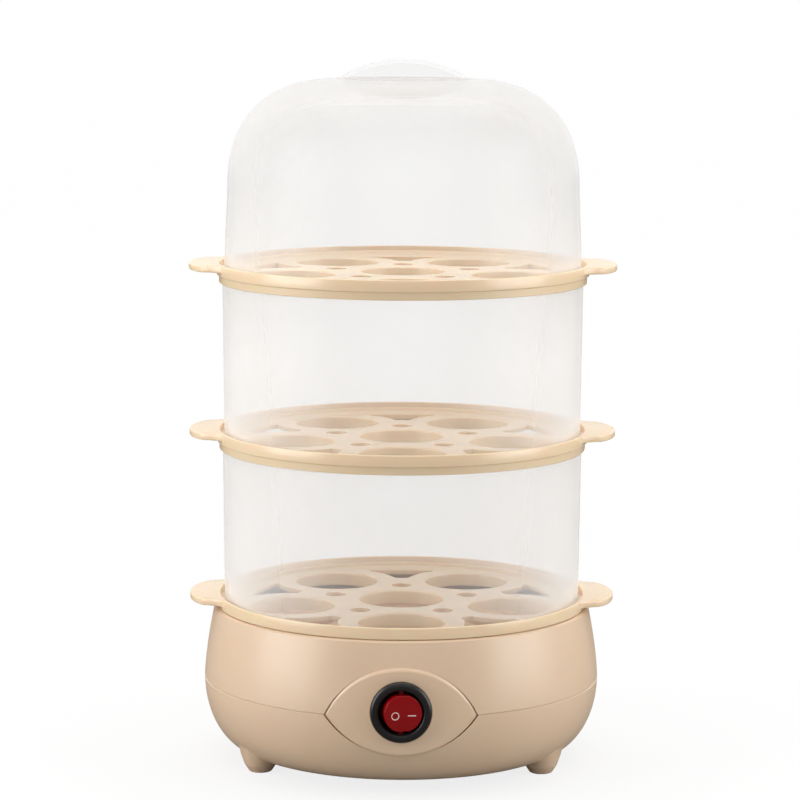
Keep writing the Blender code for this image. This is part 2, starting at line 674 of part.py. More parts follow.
def make_upper_shell(parts, plastic):
    edge = SEAM_HEIGHT + FIT_GAP / 2
    rebate_radius = BODY_RADIUS - SHELL_WALL + SEAM_LIP_WALL + FIT_GAP
    rebate_top = SEAM_HEIGHT + SEAM_LIP_HEIGHT + FIT_GAP
    ledge_bottom = LEDGE_HEIGHT - LEDGE_WALL
    side_top = BASE_TOP_HEIGHT - MOUTH_CHAMFER
    side_heights = [edge + (side_top - edge) * share for share in (1, 0.75, 0.5, 0.25, 0)]
    wall_heights = [rebate_top + (ledge_bottom - rebate_top) * share for share in (0, 0.5, 1)]
    outline = [(BASE_TOP_RADIUS - MOUTH_CHAMFER, BASE_TOP_HEIGHT)]
    outline += [(body_radius(height), height) for height in side_heights]
    outline += [(rebate_radius, edge), (rebate_radius, rebate_top)]
    outline += [(body_radius(height) - SHELL_WALL, height) for height in wall_heights]
    outline += [(LEDGE_INNER_RADIUS, ledge_bottom), (LEDGE_INNER_RADIUS, LEDGE_HEIGHT)]
    outline += [(MOUTH_RADIUS, LEDGE_HEIGHT), (MOUTH_RADIUS, BASE_TOP_HEIGHT)]
    shell = turned_part("upper_shell", outline, True, parts)

    front_y = -BODY_RADIUS - OVERRUN
    back_y = PANEL_Y + BOSS_DEPTH
    combine(shell, add_tool("eye_cut", eye_mesh("eye_cut", 0, front_y, back_y + OVERRUN, False)))
    boss = eye_mesh("boss", -JOIN_OVERLAP, PANEL_Y, back_y, True, BOSS_FILLET)
    combine(shell, add_tool("boss", boss), "UNION")
    panel_place = (0, PANEL_Y, SWITCH_HEIGHT)
    pad = cylinder_mesh("pad", BEZEL_RADIUS + FIT_GAP, -BOSS_WALL, 0, steps=SWITCH_STEPS)
    combine(shell, add_tool("pad", pad, panel_place, (90, 0, 0)), "UNION")
    hollow = eye_mesh("boss_hollow", BOSS_WALL, PANEL_Y + BOSS_WALL, back_y + OVERRUN, True)
    combine(shell, add_tool("boss_hollow", hollow))
    hole = cylinder_mesh("switch_hole", SWITCH_BODY_RADIUS + FIT_GAP, -BOSS_DEPTH, OVERRUN, steps=SWITCH_STEPS)
    combine(shell, add_tool("switch_hole", hole, panel_place, (90, 0, 0)))

    post_top = LEDGE_HEIGHT - LEDGE_WALL / 2
    posts = cylinder_mesh("posts", POST_RADIUS, POST_SPLIT_HEIGHT + FIT_GAP, post_top, foot_places())
    combine(shell, add_tool("posts", posts), "UNION")
    hole_top = SCREW_SEAT_HEIGHT + SCREW_LENGTH
    holes = cylinder_mesh("post_holes", SCREW_HOLE_RADIUS, POST_SPLIT_HEIGHT - OVERRUN, hole_top, foot_places())
    combine(shell, add_tool("post_holes", holes))
    combine(shell, gland_hole("gland_hole_high"))
    return settle(shell, plastic)


def make_shell_screws(parts, steel):
    head_top = SCREW_SEAT_HEIGHT - FIT_GAP
    head_bottom = head_top - SCREW_HEAD_HEIGHT
    tip = head_bottom + SCREW_LENGTH
    shank = [(0, tip), (SCREW_RADIUS, tip - SCREW_RADIUS), (SCREW_RADIUS, head_top)]
    side = [(SCREW_HEAD_RADIUS, head_top), (SCREW_HEAD_RADIUS, head_bottom + SCREW_SLOT_DEPTH)]
    outline = [*shank, *side, (SCREW_RADIUS, head_bottom), (0, head_bottom)]
    half_slot = SCREW_SLOT_WIDTH / 2
    for number, (x, y) in enumerate(foot_places(), 1):
        screw = turned_part(f"shell_screw_{number}", outline, False, parts, SMALL_STEPS, (x, y, 0))
        low = (-SCREW_HEAD_RADIUS, -half_slot, head_bottom - OVERRUN)
        slot = box_mesh("slot", low, (SCREW_HEAD_RADIUS, half_slot, head_bottom + SCREW_SLOT_DEPTH / 2))
        combine(screw, add_tool("slot", slot, (x, y, 0)))
        settle(screw, steel)


def stud_places():
    return [(side * STUD_SPAN / 2, HEATER_CENTRE_Y) for side in (-1, 1)]


def add_wall(part, thickness):
    """Thickens an open surface on its inner side."""
    wall = part.modifiers.new("wall", "SOLIDIFY")
    wall.thickness = thickness
    wall.offset = -1
    wall.use_even_offset = True


def make_dish(parts, steel):
    floor = BRIM_TOP - DISH_DEPTH
    outline = [(0, floor), (DISH_FLAT_RADIUS, floor), (DISH_FLOOR_RADIUS, floor + DISH_FLOOR_RISE)]
    outline += [(DISH_BEND_RADIUS, floor + DISH_BEND_RISE), (DISH_SIDE_RADIUS, BRIM_TOP - DISH_SIDE_DROP)]
    outline += [(DISH_BRIM_RADIUS, BRIM_TOP), (DISH_RADIUS, BRIM_TOP)]
    dish = turned_part("heating_dish", outline, False, parts)
    add_wall(dish, DISH_WALL)
    top = DISH_UNDERSIDE + DISH_WALL / 2
    studs = cylinder_mesh("studs", STUD_RADIUS, DISH_UNDERSIDE - STUD_LENGTH, top, stud_places())
    combine(dish, add_tool("studs", studs), "UNION")
    return settle(dish, steel)


def make_seal(parts, rubber):
    bottom = LEDGE_HEIGHT + FIT_GAP
    outer = MOUTH_RADIUS - FIT_GAP
    lip_top = SEAL_TOP + SEAL_LIP_HEIGHT
    outline = [(outer - SEAL_LIP_WALL, lip_top), (outer, lip_top), (outer, bottom), (SEAL_INNER_RADIUS, bottom)]
    outline += [(SEAL_INNER_RADIUS, SEAL_TOP), (outer - SEAL_LIP_WALL, SEAL_TOP)]
    return settle(turned_part("dish_seal", outline, True, parts), rubber)


def add_tabs(bm, inner_x, outer_x, y):
    """A flat terminal on each side of a body."""
    for side in (-1, 1):
        low_x, high_x = sorted((side * inner_x, side * outer_x))
        low = (low_x, y - TAB_WIDTH / 2, TAB_HEIGHT - TAB_WALL / 2)
        add_box(bm, low, (high_x, y + TAB_WIDTH / 2, TAB_HEIGHT + TAB_WALL / 2))


def make_heater(parts, metal):
    bottom = CLAMP_TOP + FIT_GAP
    half = Vector((HEATER_LENGTH / 2, HEATER_WIDTH / 2, 0))
    middle = Vector((0, HEATER_CENTRE_Y, bottom))
    mesh = box_mesh("heater_block", middle - half, middle + half + Vector((0, 0, HEATER_HEIGHT)))
    heater = add_object("heater_block", mesh, parts)
    bm = bmesh.new()
    add_tabs(bm, HEATER_LENGTH / 2 - HEATER_TAB_LENGTH, HEATER_LENGTH / 2 + HEATER_TAB_LENGTH, HEATER_TAB_Y)
    combine(heater, add_tool("heater_tabs", finish_mesh(bm, "heater_tabs")), "UNION")
    return settle(heater, metal)


def make_clamp(parts, metal):
    """A cross: the bar is bolted to the studs, and the tongue carries the thermostat and the fuse."""
    half_bar = CLAMP_BAR_WIDTH / 2
    half_tongue = CLAMP_TONGUE_WIDTH / 2
    left = arc((half_bar - CLAMP_LENGTH / 2, HEATER_CENTRE_Y), half_bar, 90, 270, 6)
    right = [(-x, y) for x, y in reversed(left)]
    plate = add_object("clamp_plate", prism_mesh("clamp_plate", [left + right], CLAMP_BOTTOM, CLAMP_TOP), parts)
    tongue_low = (-half_tongue, CLAMP_TONGUE_FRONT_Y, CLAMP_BOTTOM)
    tongue = box_mesh("tongue", tongue_low, (half_tongue, CLAMP_TONGUE_BACK_Y, CLAMP_TOP))
    combine(plate, add_tool("tongue", tongue), "UNION")
    low = CLAMP_BOTTOM - OVERRUN
    holes = cylinder_mesh("clamp_holes", STUD_RADIUS + FIT_GAP, low, CLAMP_TOP + OVERRUN, stud_places())
    combine(plate, add_tool("clamp_holes", holes))
    return settle(plate, metal)


def make_clamp_nuts(parts, steel):
    top = CLAMP_BOTTOM - FIT_GAP
    bottom = top - NUT_HEIGHT
    for number, (x, y) in enumerate(stud_places(), 1):
        mesh = cylinder_mesh("nut", NUT_RADIUS, bottom, top, steps=NUT_SIDES)
        nut = add_object(f"clamp_nut_{number}", mesh, parts, (x, y, 0))
        bore = cylinder_mesh("bore", STUD_RADIUS + FIT_GAP, bottom - OVERRUN, top + OVERRUN)
        combine(nut, add_tool("bore", bore, (x, y, 0)))
        settle(nut, steel)


def make_thermostat(parts, metal):
    bottom = CLAMP_TOP + FIT_GAP
    top = bottom + THERMOSTAT_HEIGHT
    neck = top - THERMOSTAT_CUP_HEIGHT
    outline = [(0, top), (THERMOSTAT_CUP_RADIUS, top), (THERMOSTAT_CUP_RADIUS, neck), (THERMOSTAT_RADIUS, neck)]
    outline += [(THERMOSTAT_RADIUS, bottom), (0, bottom)]
    thermostat = turned_part("thermostat", outline, False, parts, SWITCH_STEPS, (0, THERMOSTAT_CENTRE_Y, 0))
    tab_start = THERMOSTAT_RADIUS - THERMOSTAT_TAB_LENGTH / 2
    bm = bmesh.new()
    add_tabs(bm, tab_start, THERMOSTAT_RADIUS + THERMOSTAT_TAB_LENGTH, THERMOSTAT_CENTRE_Y)
    combine(thermostat, add_tool("thermostat_tabs", finish_mesh(bm, "thermostat_tabs")), "UNION")
    return settle(thermostat, metal)


def make_fuse(parts, metal):
    half = FUSE_LENGTH / 2
    end = half + FUSE_NECK_LENGTH
    upper = [(0, end), (FUSE_NECK_RADIUS, end), (FUSE_NECK_RADIUS, half), (FUSE_RADIUS, half)]
    outline = upper + [(radius, -height) for radius, height in reversed(upper)]
    place = (0, FUSE_CENTRE_Y, FUSE_HEIGHT)
    fuse = turned_part("thermal_fuse", outline, False, parts, SMALL_STEPS, place, (0, 90, 0))
    return settle(fuse, metal)


def terminal_places():
    return [TERMINAL_PITCH * number for number in (-1, 0, 1)]


def make_switch_housing(parts, plastic):
    """Lathed about the switch's axis, with its own +Z pointing out of the panel."""
    base = FIT_GAP
    face = base + BEZEL_HEIGHT
    rounding = arc((BEZEL_RADIUS - BEZEL_ROUNDING, face - BEZEL_ROUNDING), BEZEL_ROUNDING, 90, 0, 3)
    outline = [(0, -SWITCH_CAVITY_DEPTH), (SWITCH_CAVITY_RADIUS, -SWITCH_CAVITY_DEPTH)]
    outline += [(SWITCH_CAVITY_RADIUS, face - BEZEL_MOUTH_CHAMFER)]
    outline += [(SWITCH_CAVITY_RADIUS + BEZEL_MOUTH_CHAMFER, face), *rounding]
    outline += [(BEZEL_RADIUS, base), (SWITCH_BODY_RADIUS, base), (SWITCH_BODY_RADIUS, -SWITCH_BODY_DEPTH)]
    outline += [(0, -SWITCH_BODY_DEPTH)]
    place = (0, PANEL_Y, SWITCH_HEIGHT)
    housing = turned_part("switch_housing", outline, False, parts, SWITCH_STEPS, place, (90, 0, 0))

    clip_reach = SWITCH_BODY_RADIUS + CLIP_HEIGHT
    clip_front = -boss_sag(clip_reach) - BOSS_WALL - FIT_GAP
    clips = bmesh.new()
    for side in (-1, 1):
        low_x, high_x = sorted((side * (SWITCH_BODY_RADIUS - CLIP_HEIGHT), side * clip_reach))
        add_box(clips, (low_x, -CLIP_WIDTH / 2, clip_front - CLIP_LENGTH), (high_x, CLIP_WIDTH / 2, clip_front))
    combine(housing, add_tool("clips", finish_mesh(clips, "clips"), place, (90, 0, 0)), "UNION")

    socket_end = PIN_REACH + FIT_GAP
    sockets = cylinder_mesh("sockets", PIN_RADIUS + FIT_GAP, -socket_end, socket_end)
    combine(housing, add_tool("sockets", sockets, (0, HINGE_Y, SWITCH_HEIGHT)))
    half = Vector((TERMINAL_WALL / 2 + FIT_GAP, 0, TERMINAL_WIDTH / 2 + FIT_GAP))
    pockets = bmesh.new()
    for x in terminal_places():
        seat = Vector((x, SWITCH_BACK_Y - TERMINAL_SEAT - FIT_GAP, SWITCH_HEIGHT))
        mouth = Vector((x, SWITCH_BACK_Y + OVERRUN, SWITCH_HEIGHT))
        add_box(pockets, seat - half, mouth + half)
    combine(housing, add_tool("pockets", finish_mesh(pockets, "pockets")))
    return settle(housing, plastic)


def make_switch_terminals(parts, brass):
    half = Vector((TERMINAL_WALL / 2, 0, TERMINAL_WIDTH / 2))
    for number, x in enumerate(terminal_places(), 1):
        seat = Vector((x, TERMINAL_END_Y - TERMINAL_LENGTH, SWITCH_HEIGHT))
        end = Vector((x, TERMINAL_END_Y, SWITCH_HEIGHT))
        terminal = add_object(f"switch_terminal_{number}", box_mesh("terminal", seat - half, end + half), parts)
        settle(terminal, brass)


def make_lamp(parts, glass):
    y = PANEL_Y + SWITCH_CAVITY_DEPTH - FIT_GAP - LAMP_RADIUS
    dome = arc((0, LAMP_LENGTH / 2 - LAMP_RADIUS), LAMP_RADIUS, 90, 0, 3)
    outline = dome + [(radius, -height) for radius, height in reversed(dome)]
    outline[0] = (0, LAMP_LENGTH / 2)
    outline[-1] = (0, -LAMP_LENGTH / 2)
    return settle(turned_part("switch_lamp", outline, False, parts, LAMP_STEPS, (0, y, SWITCH_HEIGHT)), glass)


def make_rocker(parts, plastic):
    """The red key: a round block cut flat above and below, with a shallow valley across its face."""
    valley = [(-ROCKER_RADIUS, -ROCKER_EDGE_RISE), (0, -ROCKER_RISE), (ROCKER_RADIUS, -ROCKER_EDGE_RISE)]
    outline = [*valley, (ROCKER_RADIUS, ROCKER_BACK), (-ROCKER_RADIUS, ROCKER_BACK)]
    place = (0, HINGE_Y, SWITCH_HEIGHT)
    tilt = (0, 0, ROCKER_TILT)
    mesh = prism_mesh("switch_rocker", [outline], -ROCKER_HALF_HEIGHT, ROCKER_HALF_HEIGHT)
    rocker = add_object("switch_rocker", mesh, parts, place, tilt)
    back = -ROCKER_BACK - OVERRUN
    rim_top = ROCKER_EDGE_RISE + OVERRUN
    rim = facing_front(cylinder_mesh("rim", ROCKER_RADIUS, back, rim_top, steps=ROCKER_STEPS))
    combine(rocker, add_tool("rim", rim, place, tilt), "INTERSECT")
    hollow = facing_front(cylinder_mesh("hollow", ROCKER_RADIUS - ROCKER_WALL, back, ROCKER_RISE - ROCKER_WALL))
    combine(rocker, add_tool("hollow", hollow, place, tilt))
    pin_start = ROCKER_HALF_HEIGHT - ROCKER_WALL / 2
    for side in (-1, 1):
        low, high = sorted((side * pin_start, side * PIN_REACH))
        combine(rocker, add_tool("pin", cylinder_mesh("pin", PIN_RADIUS, low, high), place, tilt), "UNION")
    return settle(rocker, plastic)


def make_gland(parts, rubber):
    """A grommet whose nose reaches as far behind the axis as the rocker's raised edge does in front."""
    tilt = math.radians(ROCKER_TILT)
    front_reach = ROCKER_EDGE_RISE * math.cos(tilt) + ROCKER_RADIUS * math.sin(tilt) - HINGE_Y
    angle = math.radians(GLAND_ANGLE)
    nose = (front_reach - GLAND_NOSE_RADIUS * math.cos(angle)) / math.sin(angle)
    flange_back = BODY_RADIUS + FIT_GAP
    flange_front = flange_back + GLAND_FLANGE_WALL
    collar_front = BODY_RADIUS - SHELL_WALL - GLAND_BACK_GAP
    collar_back = collar_front - GLAND_BACK_WALL
    outline = [(GLAND_BORE_RADIUS, nose), (GLAND_NOSE_RADIUS, nose), (GLAND_NOSE_RADIUS, flange_front)]
    outline += [(GLAND_FLANGE_RADIUS, flange_front), (GLAND_FLANGE_RADIUS, flange_back)]
    outline += [(GLAND_NECK_RADIUS, flange_back), (GLAND_NECK_RADIUS, collar_front)]
    outline += [(GLAND_FLANGE_RADIUS, collar_front), (GLAND_FLANGE_RADIUS, collar_back)]
    outline += [(GLAND_BORE_RADIUS, collar_back)]
    lie = {"location": (0, 0, SEAM_HEIGHT), "rotation": (0, 90, GLAND_ANGLE)}
    gland = turned_part("cord_gland", outline, True, parts, GLAND_STEPS, **lie)
    return settle(gland, rubber)


def make_wire_joint(parts, plastic):
    """A closed cap, lying along X, over the stripped ends of two wires."""
    bore = CAP_RADIUS - CAP_WALL
    outline = [(0, -CAP_BORE_DEPTH), (bore, -CAP_BORE_DEPTH), (bore, 0), (CAP_RADIUS, 0)]
    outline += [(CAP_RADIUS, CAP_WALL - CAP_LENGTH), (bore, -CAP_LENGTH), (0, -CAP_LENGTH)]
    place = (CAP_MOUTH_X, CAP_CENTRE_Y, CAP_HEIGHT)
    cap = turned_part("wire_joint", outline, False, parts, SMALL_STEPS, place, (0, -90, 0))
    return settle(cap, plastic)


def smooth_route(points, spacing):
    """A rounded line through the points, with a point at about every spacing."""
    ends = [2 * points[0] - points[1], *points, 2 * points[-1] - points[-2]]
    route = []
    for before, start, end, after in zip(ends, ends[1:], ends[2:], ends[3:]):
        steps = max(1, round((end - start).length / spacing))
        for step in range(steps):
            share = step / steps
            square, cube = share**2, share**3
            pull = (end - before) * (cube - 2 * square + share) / 2 + (after - start) * (cube - square) / 2
            route.append(start * (2 * cube - 3 * square + 1) + end * (3 * square - 2 * cube) + pull)
    return [*route, points[-1]]


def wire_routes():
    """Each wire's points: out of one terminal, through its bends, and into the other terminal."""
    mirrored = Vector((-1, 1, 1))
    ahead = Vector((0, WIRE_LEAD, 0))
    aside = Vector((WIRE_LEAD, 0, 0))
    beside = Vector((0, WIRE_RADIUS + FIT_GAP / 2, 0))
    live = Vector((TERMINAL_PITCH, TERMINAL_END_Y + FIT_GAP, SWITCH_HEIGHT))
    thermostat = Vector((THERMOSTAT_RADIUS + THERMOSTAT_TAB_LENGTH + FIT_GAP, THERMOSTAT_CENTRE_Y, TAB_HEIGHT))
    heater = Vector((HEATER_LENGTH / 2 + HEATER_TAB_LENGTH + FIT_GAP, HEATER_TAB_Y, TAB_HEIGHT))
    fuse = Vector((FUSE_LENGTH / 2 + FUSE_NECK_LENGTH + FIT_GAP, FUSE_CENTRE_Y, FUSE_HEIGHT))
    joint = Vector((CAP_MOUTH_X + CAP_BORE_DEPTH / 2, CAP_CENTRE_Y, CAP_HEIGHT))
    cap_mouth = joint - Vector((CAP_BORE_DEPTH / 2 + WIRE_LEAD, 0, 0))
    ends = {
        "wire_switch_to_thermostat": ([live, live + ahead], [thermostat + aside, thermostat]),
        "wire_thermostat_to_heater": (
            [thermostat * mirrored, (thermostat + aside) * mirrored],
            [(heater + aside) * mirrored, heater * mirrored],
        ),
        "wire_heater_to_fuse": ([heater, heater + aside], [fuse + aside, fuse]),
        "wire_fuse_to_joint": (
            [fuse * mirrored, (fuse + aside) * mirrored],
            [cap_mouth + beside, joint + beside],
        ),
        "wire_switch_to_joint": (
            [live * mirrored, (live + ahead) * mirrored],
            [cap_mouth - beside, joint - beside],
        ),
    }
    return {
        name: [*leaving, *(Vector(bend) for bend in WIRE_BENDS[name]), *arriving]
        for name, (leaving, arriving) in ends.items()
    }


def make_wires(parts, insulation):
    for name, points in wire_routes().items():
        curve = bpy.data.curves.new(name, "CURVE")
        curve.dimensions = "3D"
        curve.bevel_depth = WIRE_RADIUS
        curve.bevel_resolution = 2
        curve.use_fill_caps = True
        spline = curve.splines.new("POLY")
        route = smooth_route(points, WIRE_SPACING)
        spline.points.add(len(route) - 1)
        for point, place in zip(spline.points, route):
            point.co = (*place, 1)
        curve.materials.append(insulation)
        add_object(name, curve, parts)


def ear_outline(side):
    """A half ellipse that leaves the rim in two small flares. Its root lies within the rim's lip."""
    root = TRAY_RIM_RADIUS - TRAY_LIP_WALL / 2
    flare_y = EAR_HALF_WIDTH + EAR_FLARE
    start = Vector((math.sqrt(root**2 - flare_y**2), flare_y))
    corner = Vector((math.sqrt(TRAY_RIM_RADIUS**2 - EAR_HALF_WIDTH**2), EAR_HALF_WIDTH))
    ellipse = [Vector((EAR_REACH * x, EAR_HALF_WIDTH * y)) for x, y in arc((0, 0), 1, EAR_FLARE_ANGLE, 0, 5)]
    end = Vector((root, 0)) + ellipse[0]
    flare = [start * (1 - share) ** 2 + corner * 2 * share * (1 - share) + end * share**2 for share in (0, 0.5)]
    half = flare + [Vector((root, 0)) + point for point in ellipse]
    outline = half + [Vector((point.x, -point.y)) for point in reversed(half[:-1])]
    spread = math.degrees(math.asin(flare_y / root))
    outline += arc((0, 0), root, -spread, spread, 4)[1:-1]
    return [(side * point[0], point[1]) for point in outline]


def ring_of_places(radius, offset):
    """Places on a circle, one for each outer egg hole, turned by the offset as a share of their spacing."""
    return [polar(radius, FIRST_EGG_ANGLE + 360 * (number + offset) / EGG_COUNT) for number in range(EGG_COUNT)]


def window_outline(number):
    """A cut-out near the rim between two egg holes, whose sides run round the holes."""
    half_angle = 180 / EGG_COUNT
    side_radius = EGG_HOLE_RADIUS + WINDOW_WEB
    egg = Vector(polar(EGG_PITCH_RADIUS, half_angle))
    corners = []
    for radius in (WINDOW_OUTER_RADIUS, WINDOW_INNER_RADIUS):
        cosine = (radius**2 + EGG_PITCH_RADIUS**2 - side_radius**2) / (2 * radius * EGG_PITCH_RADIUS)
        corners.append(Vector(polar(radius, half_angle - math.degrees(math.acos(cosine)))))
    outer_angle = math.degrees(math.atan2(corners[0].y, corners[0].x))
    start, end = [math.degrees(math.atan2(*(corner - egg).yx)) % 360 for corner in corners]
    side = arc(egg, side_radius, start, end, 2)
    outline = arc((0, 0), WINDOW_OUTER_RADIUS, -outer_angle, outer_angle, 3)[1:-1] + side
    outline += [(x, -y) for x, y in reversed(side)]
    around = Matrix.Rotation(math.radians(FIRST_EGG_ANGLE + 2 * half_angle * (number + 0.5)), 2)
    return [around @ Vector(point) for point in outline]


def stand_on(part, parent, height):
    part.parent = parent
    part.location = (0, 0, height)
    return part


def make_tray(name, parts, plastic, parent, height):
    ledge = TRAY_BAND_HEIGHT - LEDGE_DROP
    outline = [(0, PLATE_TOP), (PLATE_RADIUS, PLATE_TOP), (COVE_RADIUS, PLATE_TOP + COVE_RISE)]
    outline += [(LEDGE_RADIUS, ledge), (GROOVE_INNER_RADIUS, ledge), (GROOVE_INNER_RADIUS, GROOVE_FLOOR)]
    outline += [(GROOVE_OUTER_RADIUS, GROOVE_FLOOR), (GROOVE_OUTER_RADIUS, TRAY_BAND_HEIGHT)]
    outline += [(TRAY_RIM_RADIUS - TRAY_EDGE_BREAK, TRAY_BAND_HEIGHT)]
    outline += [(TRAY_RIM_RADIUS, TRAY_BAND_HEIGHT - TRAY_EDGE_BREAK), (TRAY_RIM_RADIUS, 0), (SKIRT_RADIUS, 0)]
    outline += [(SKIRT_RADIUS, SKIRT_CHAMFER - SKIRT_HEIGHT), (SKIRT_RADIUS - SKIRT_CHAMFER, -SKIRT_HEIGHT)]
    outline += [(SKIRT_INNER_RADIUS, -SKIRT_HEIGHT), (SKIRT_INNER_RADIUS, CHANNEL_ROOF)]
    outline += [(CHANNEL_INNER_RADIUS, CHANNEL_ROOF), (CHANNEL_INNER_RADIUS, PLATE_BOTTOM), (0, PLATE_BOTTOM)]
    tray = turned_part(name, outline, False, parts)

    for side in (-1, 1):
        ear = prism_mesh("ear", [ear_outline(side)], TRAY_BAND_HEIGHT - EAR_THICKNESS, TRAY_BAND_HEIGHT)
        combine(tray, add_tool("ear", ear), "UNION")
    eggs = [(0, 0), *ring_of_places(EGG_PITCH_RADIUS, 0)]
    collar_bottom = PLATE_TOP - COLLAR_HEIGHT
    collar_top = PLATE_TOP - PLATE_WALL / 2
    collar_radius = EGG_HOLE_RADIUS + COLLAR_WALL
    collars = cylinder_mesh("collars", collar_radius, collar_bottom, collar_top, eggs, EGG_HOLE_STEPS)
    combine(tray, add_tool("collars", collars), "UNION")
    above = PLATE_TOP + OVERRUN
    holes = cylinder_mesh("egg_holes", EGG_HOLE_RADIUS, collar_bottom - OVERRUN, above, eggs, EGG_HOLE_STEPS)
    combine(tray, add_tool("egg_holes", holes))
    seat = PLATE_TOP - EGG_SEAT_CHAMFER
    seat_radius = EGG_HOLE_RADIUS + above - seat
    seats = cylinder_mesh("egg_seats", EGG_HOLE_RADIUS, seat, above, eggs, EGG_HOLE_STEPS, seat_radius)
    combine(tray, add_tool("egg_seats", seats))

    below = PLATE_BOTTOM - OVERRUN
    steam_places = ring_of_places(STEAM_PITCH_RADIUS, 0.5)
    steam_holes = cylinder_mesh("steam_holes", STEAM_HOLE_RADIUS, below, above, steam_places, STEAM_HOLE_STEPS)
    combine(tray, add_tool("steam_holes", steam_holes))
    windows = prism_mesh("windows", [window_outline(number) for number in range(EGG_COUNT)], below, above)
    combine(tray, add_tool("windows", windows))
    return stand_on(settle(tray, plastic), parent, height)


def make_ring(name, parts, clear, parent, height):
    outline = [(RING_TOP_RADIUS - CLEAR_WALL, RING_HEIGHT), (RING_TOP_RADIUS, RING_HEIGHT)]
    outline += [(RING_BOTTOM_RADIUS, 0), (RING_BOTTOM_RADIUS - CLEAR_WALL, 0)]
    ring = settle(turned_part(name, outline, True, parts), clear)
    return stand_on(ring, parent, height)


def lid_outline():
    """The lid's outer side: the dished recess, the domed shoulder and the nearly upright wall."""
    rise = LID_HEIGHT - LID_SIDE_HEIGHT
    reach = LID_SIDE_RADIUS - RECESS_RADIUS
    power = 2 / LID_SHOULDER_POWER
    shoulder = []
    for step in range(LID_SHOULDER_STEPS + 1):
        across, up = polar(1, 90 * (1 - step / LID_SHOULDER_STEPS))
        shoulder.append((RECESS_RADIUS + reach * max(across, 0) ** power, LID_SIDE_HEIGHT + rise * up**power))
    spread = math.degrees(math.asin(RECESS_RADIUS / RECESS_CURVE))
    dish = arc((0, RECESS_CENTRE), RECESS_CURVE, -90, spread - 90, RECESS_STEPS)
    return [(0, LID_HEIGHT - RECESS_DEPTH), *dish[1:-1], *shoulder, (LID_RIM_RADIUS, 0)]


def handle_mesh(name, inset):
    """The grip as an arched fin along X that stands in the dished recess. Its hollow opens downwards."""
    half_length = HANDLE_HALF_LENGTH - inset
    half_width = HANDLE_WIDTH / 2 - inset
    radius = (HANDLE_HALF_LENGTH**2 + HANDLE_RISE**2) / (2 * HANDLE_RISE)
    centre = LID_HEIGHT + HANDLE_RISE - radius
    spread = math.degrees(math.asin(half_length / (radius - inset)))
    outline = arc((0, centre), radius - inset, 90 - spread, 90 + spread, HANDLE_STEPS)
    if inset:
        floor = LID_HEIGHT - RECESS_DEPTH - CLEAR_WALL - OVERRUN
        outline += [(-half_length, floor), (half_length, floor)]
        return facing_front(prism_mesh(name, [outline], -half_width, half_width))
    curve = RECESS_CURVE + CLEAR_WALL / 2
    reach = math.degrees(math.asin(half_length / curve))
    outline += arc((0, RECESS_CENTRE), curve, -90 - reach, reach - 90, HANDLE_STEPS)
    mesh = facing_front(prism_mesh(name, [outline], -half_width, half_width))
    bm = bmesh.new()
    bm.from_mesh(mesh)
    upper = [edge for edge in bm.edges if min(vert.co.z for vert in edge.verts) > LID_HEIGHT - WELD_DISTANCE]
    rim = [edge for edge in upper if {round(abs(face.normal.y)) for face in edge.link_faces} == {0, 1}]
    rounding = {"offset": HANDLE_EDGE, "segments": EDGE_STEPS, "profile": 0.5}
    bmesh.ops.bevel(bm, geom=rim, affect="EDGES", material=-1, **rounding)
    bmesh.ops.recalc_face_normals(bm, faces=bm.faces)
    bm.to_mesh(mesh)
    bm.free()
    return mesh


def make_lid(parts, clear, parent, height):
    lid = turned_part("lid", lid_outline(), False, parts)
    add_wall(lid, CLEAR_WALL)
    combine(lid, add_tool("handle", handle_mesh("handle", 0)), "UNION")
    combine(lid, add_tool("handle_hollow", handle_mesh("handle_hollow", HANDLE_WALL)))
    return stand_on(settle(lid, clear), parent, height)


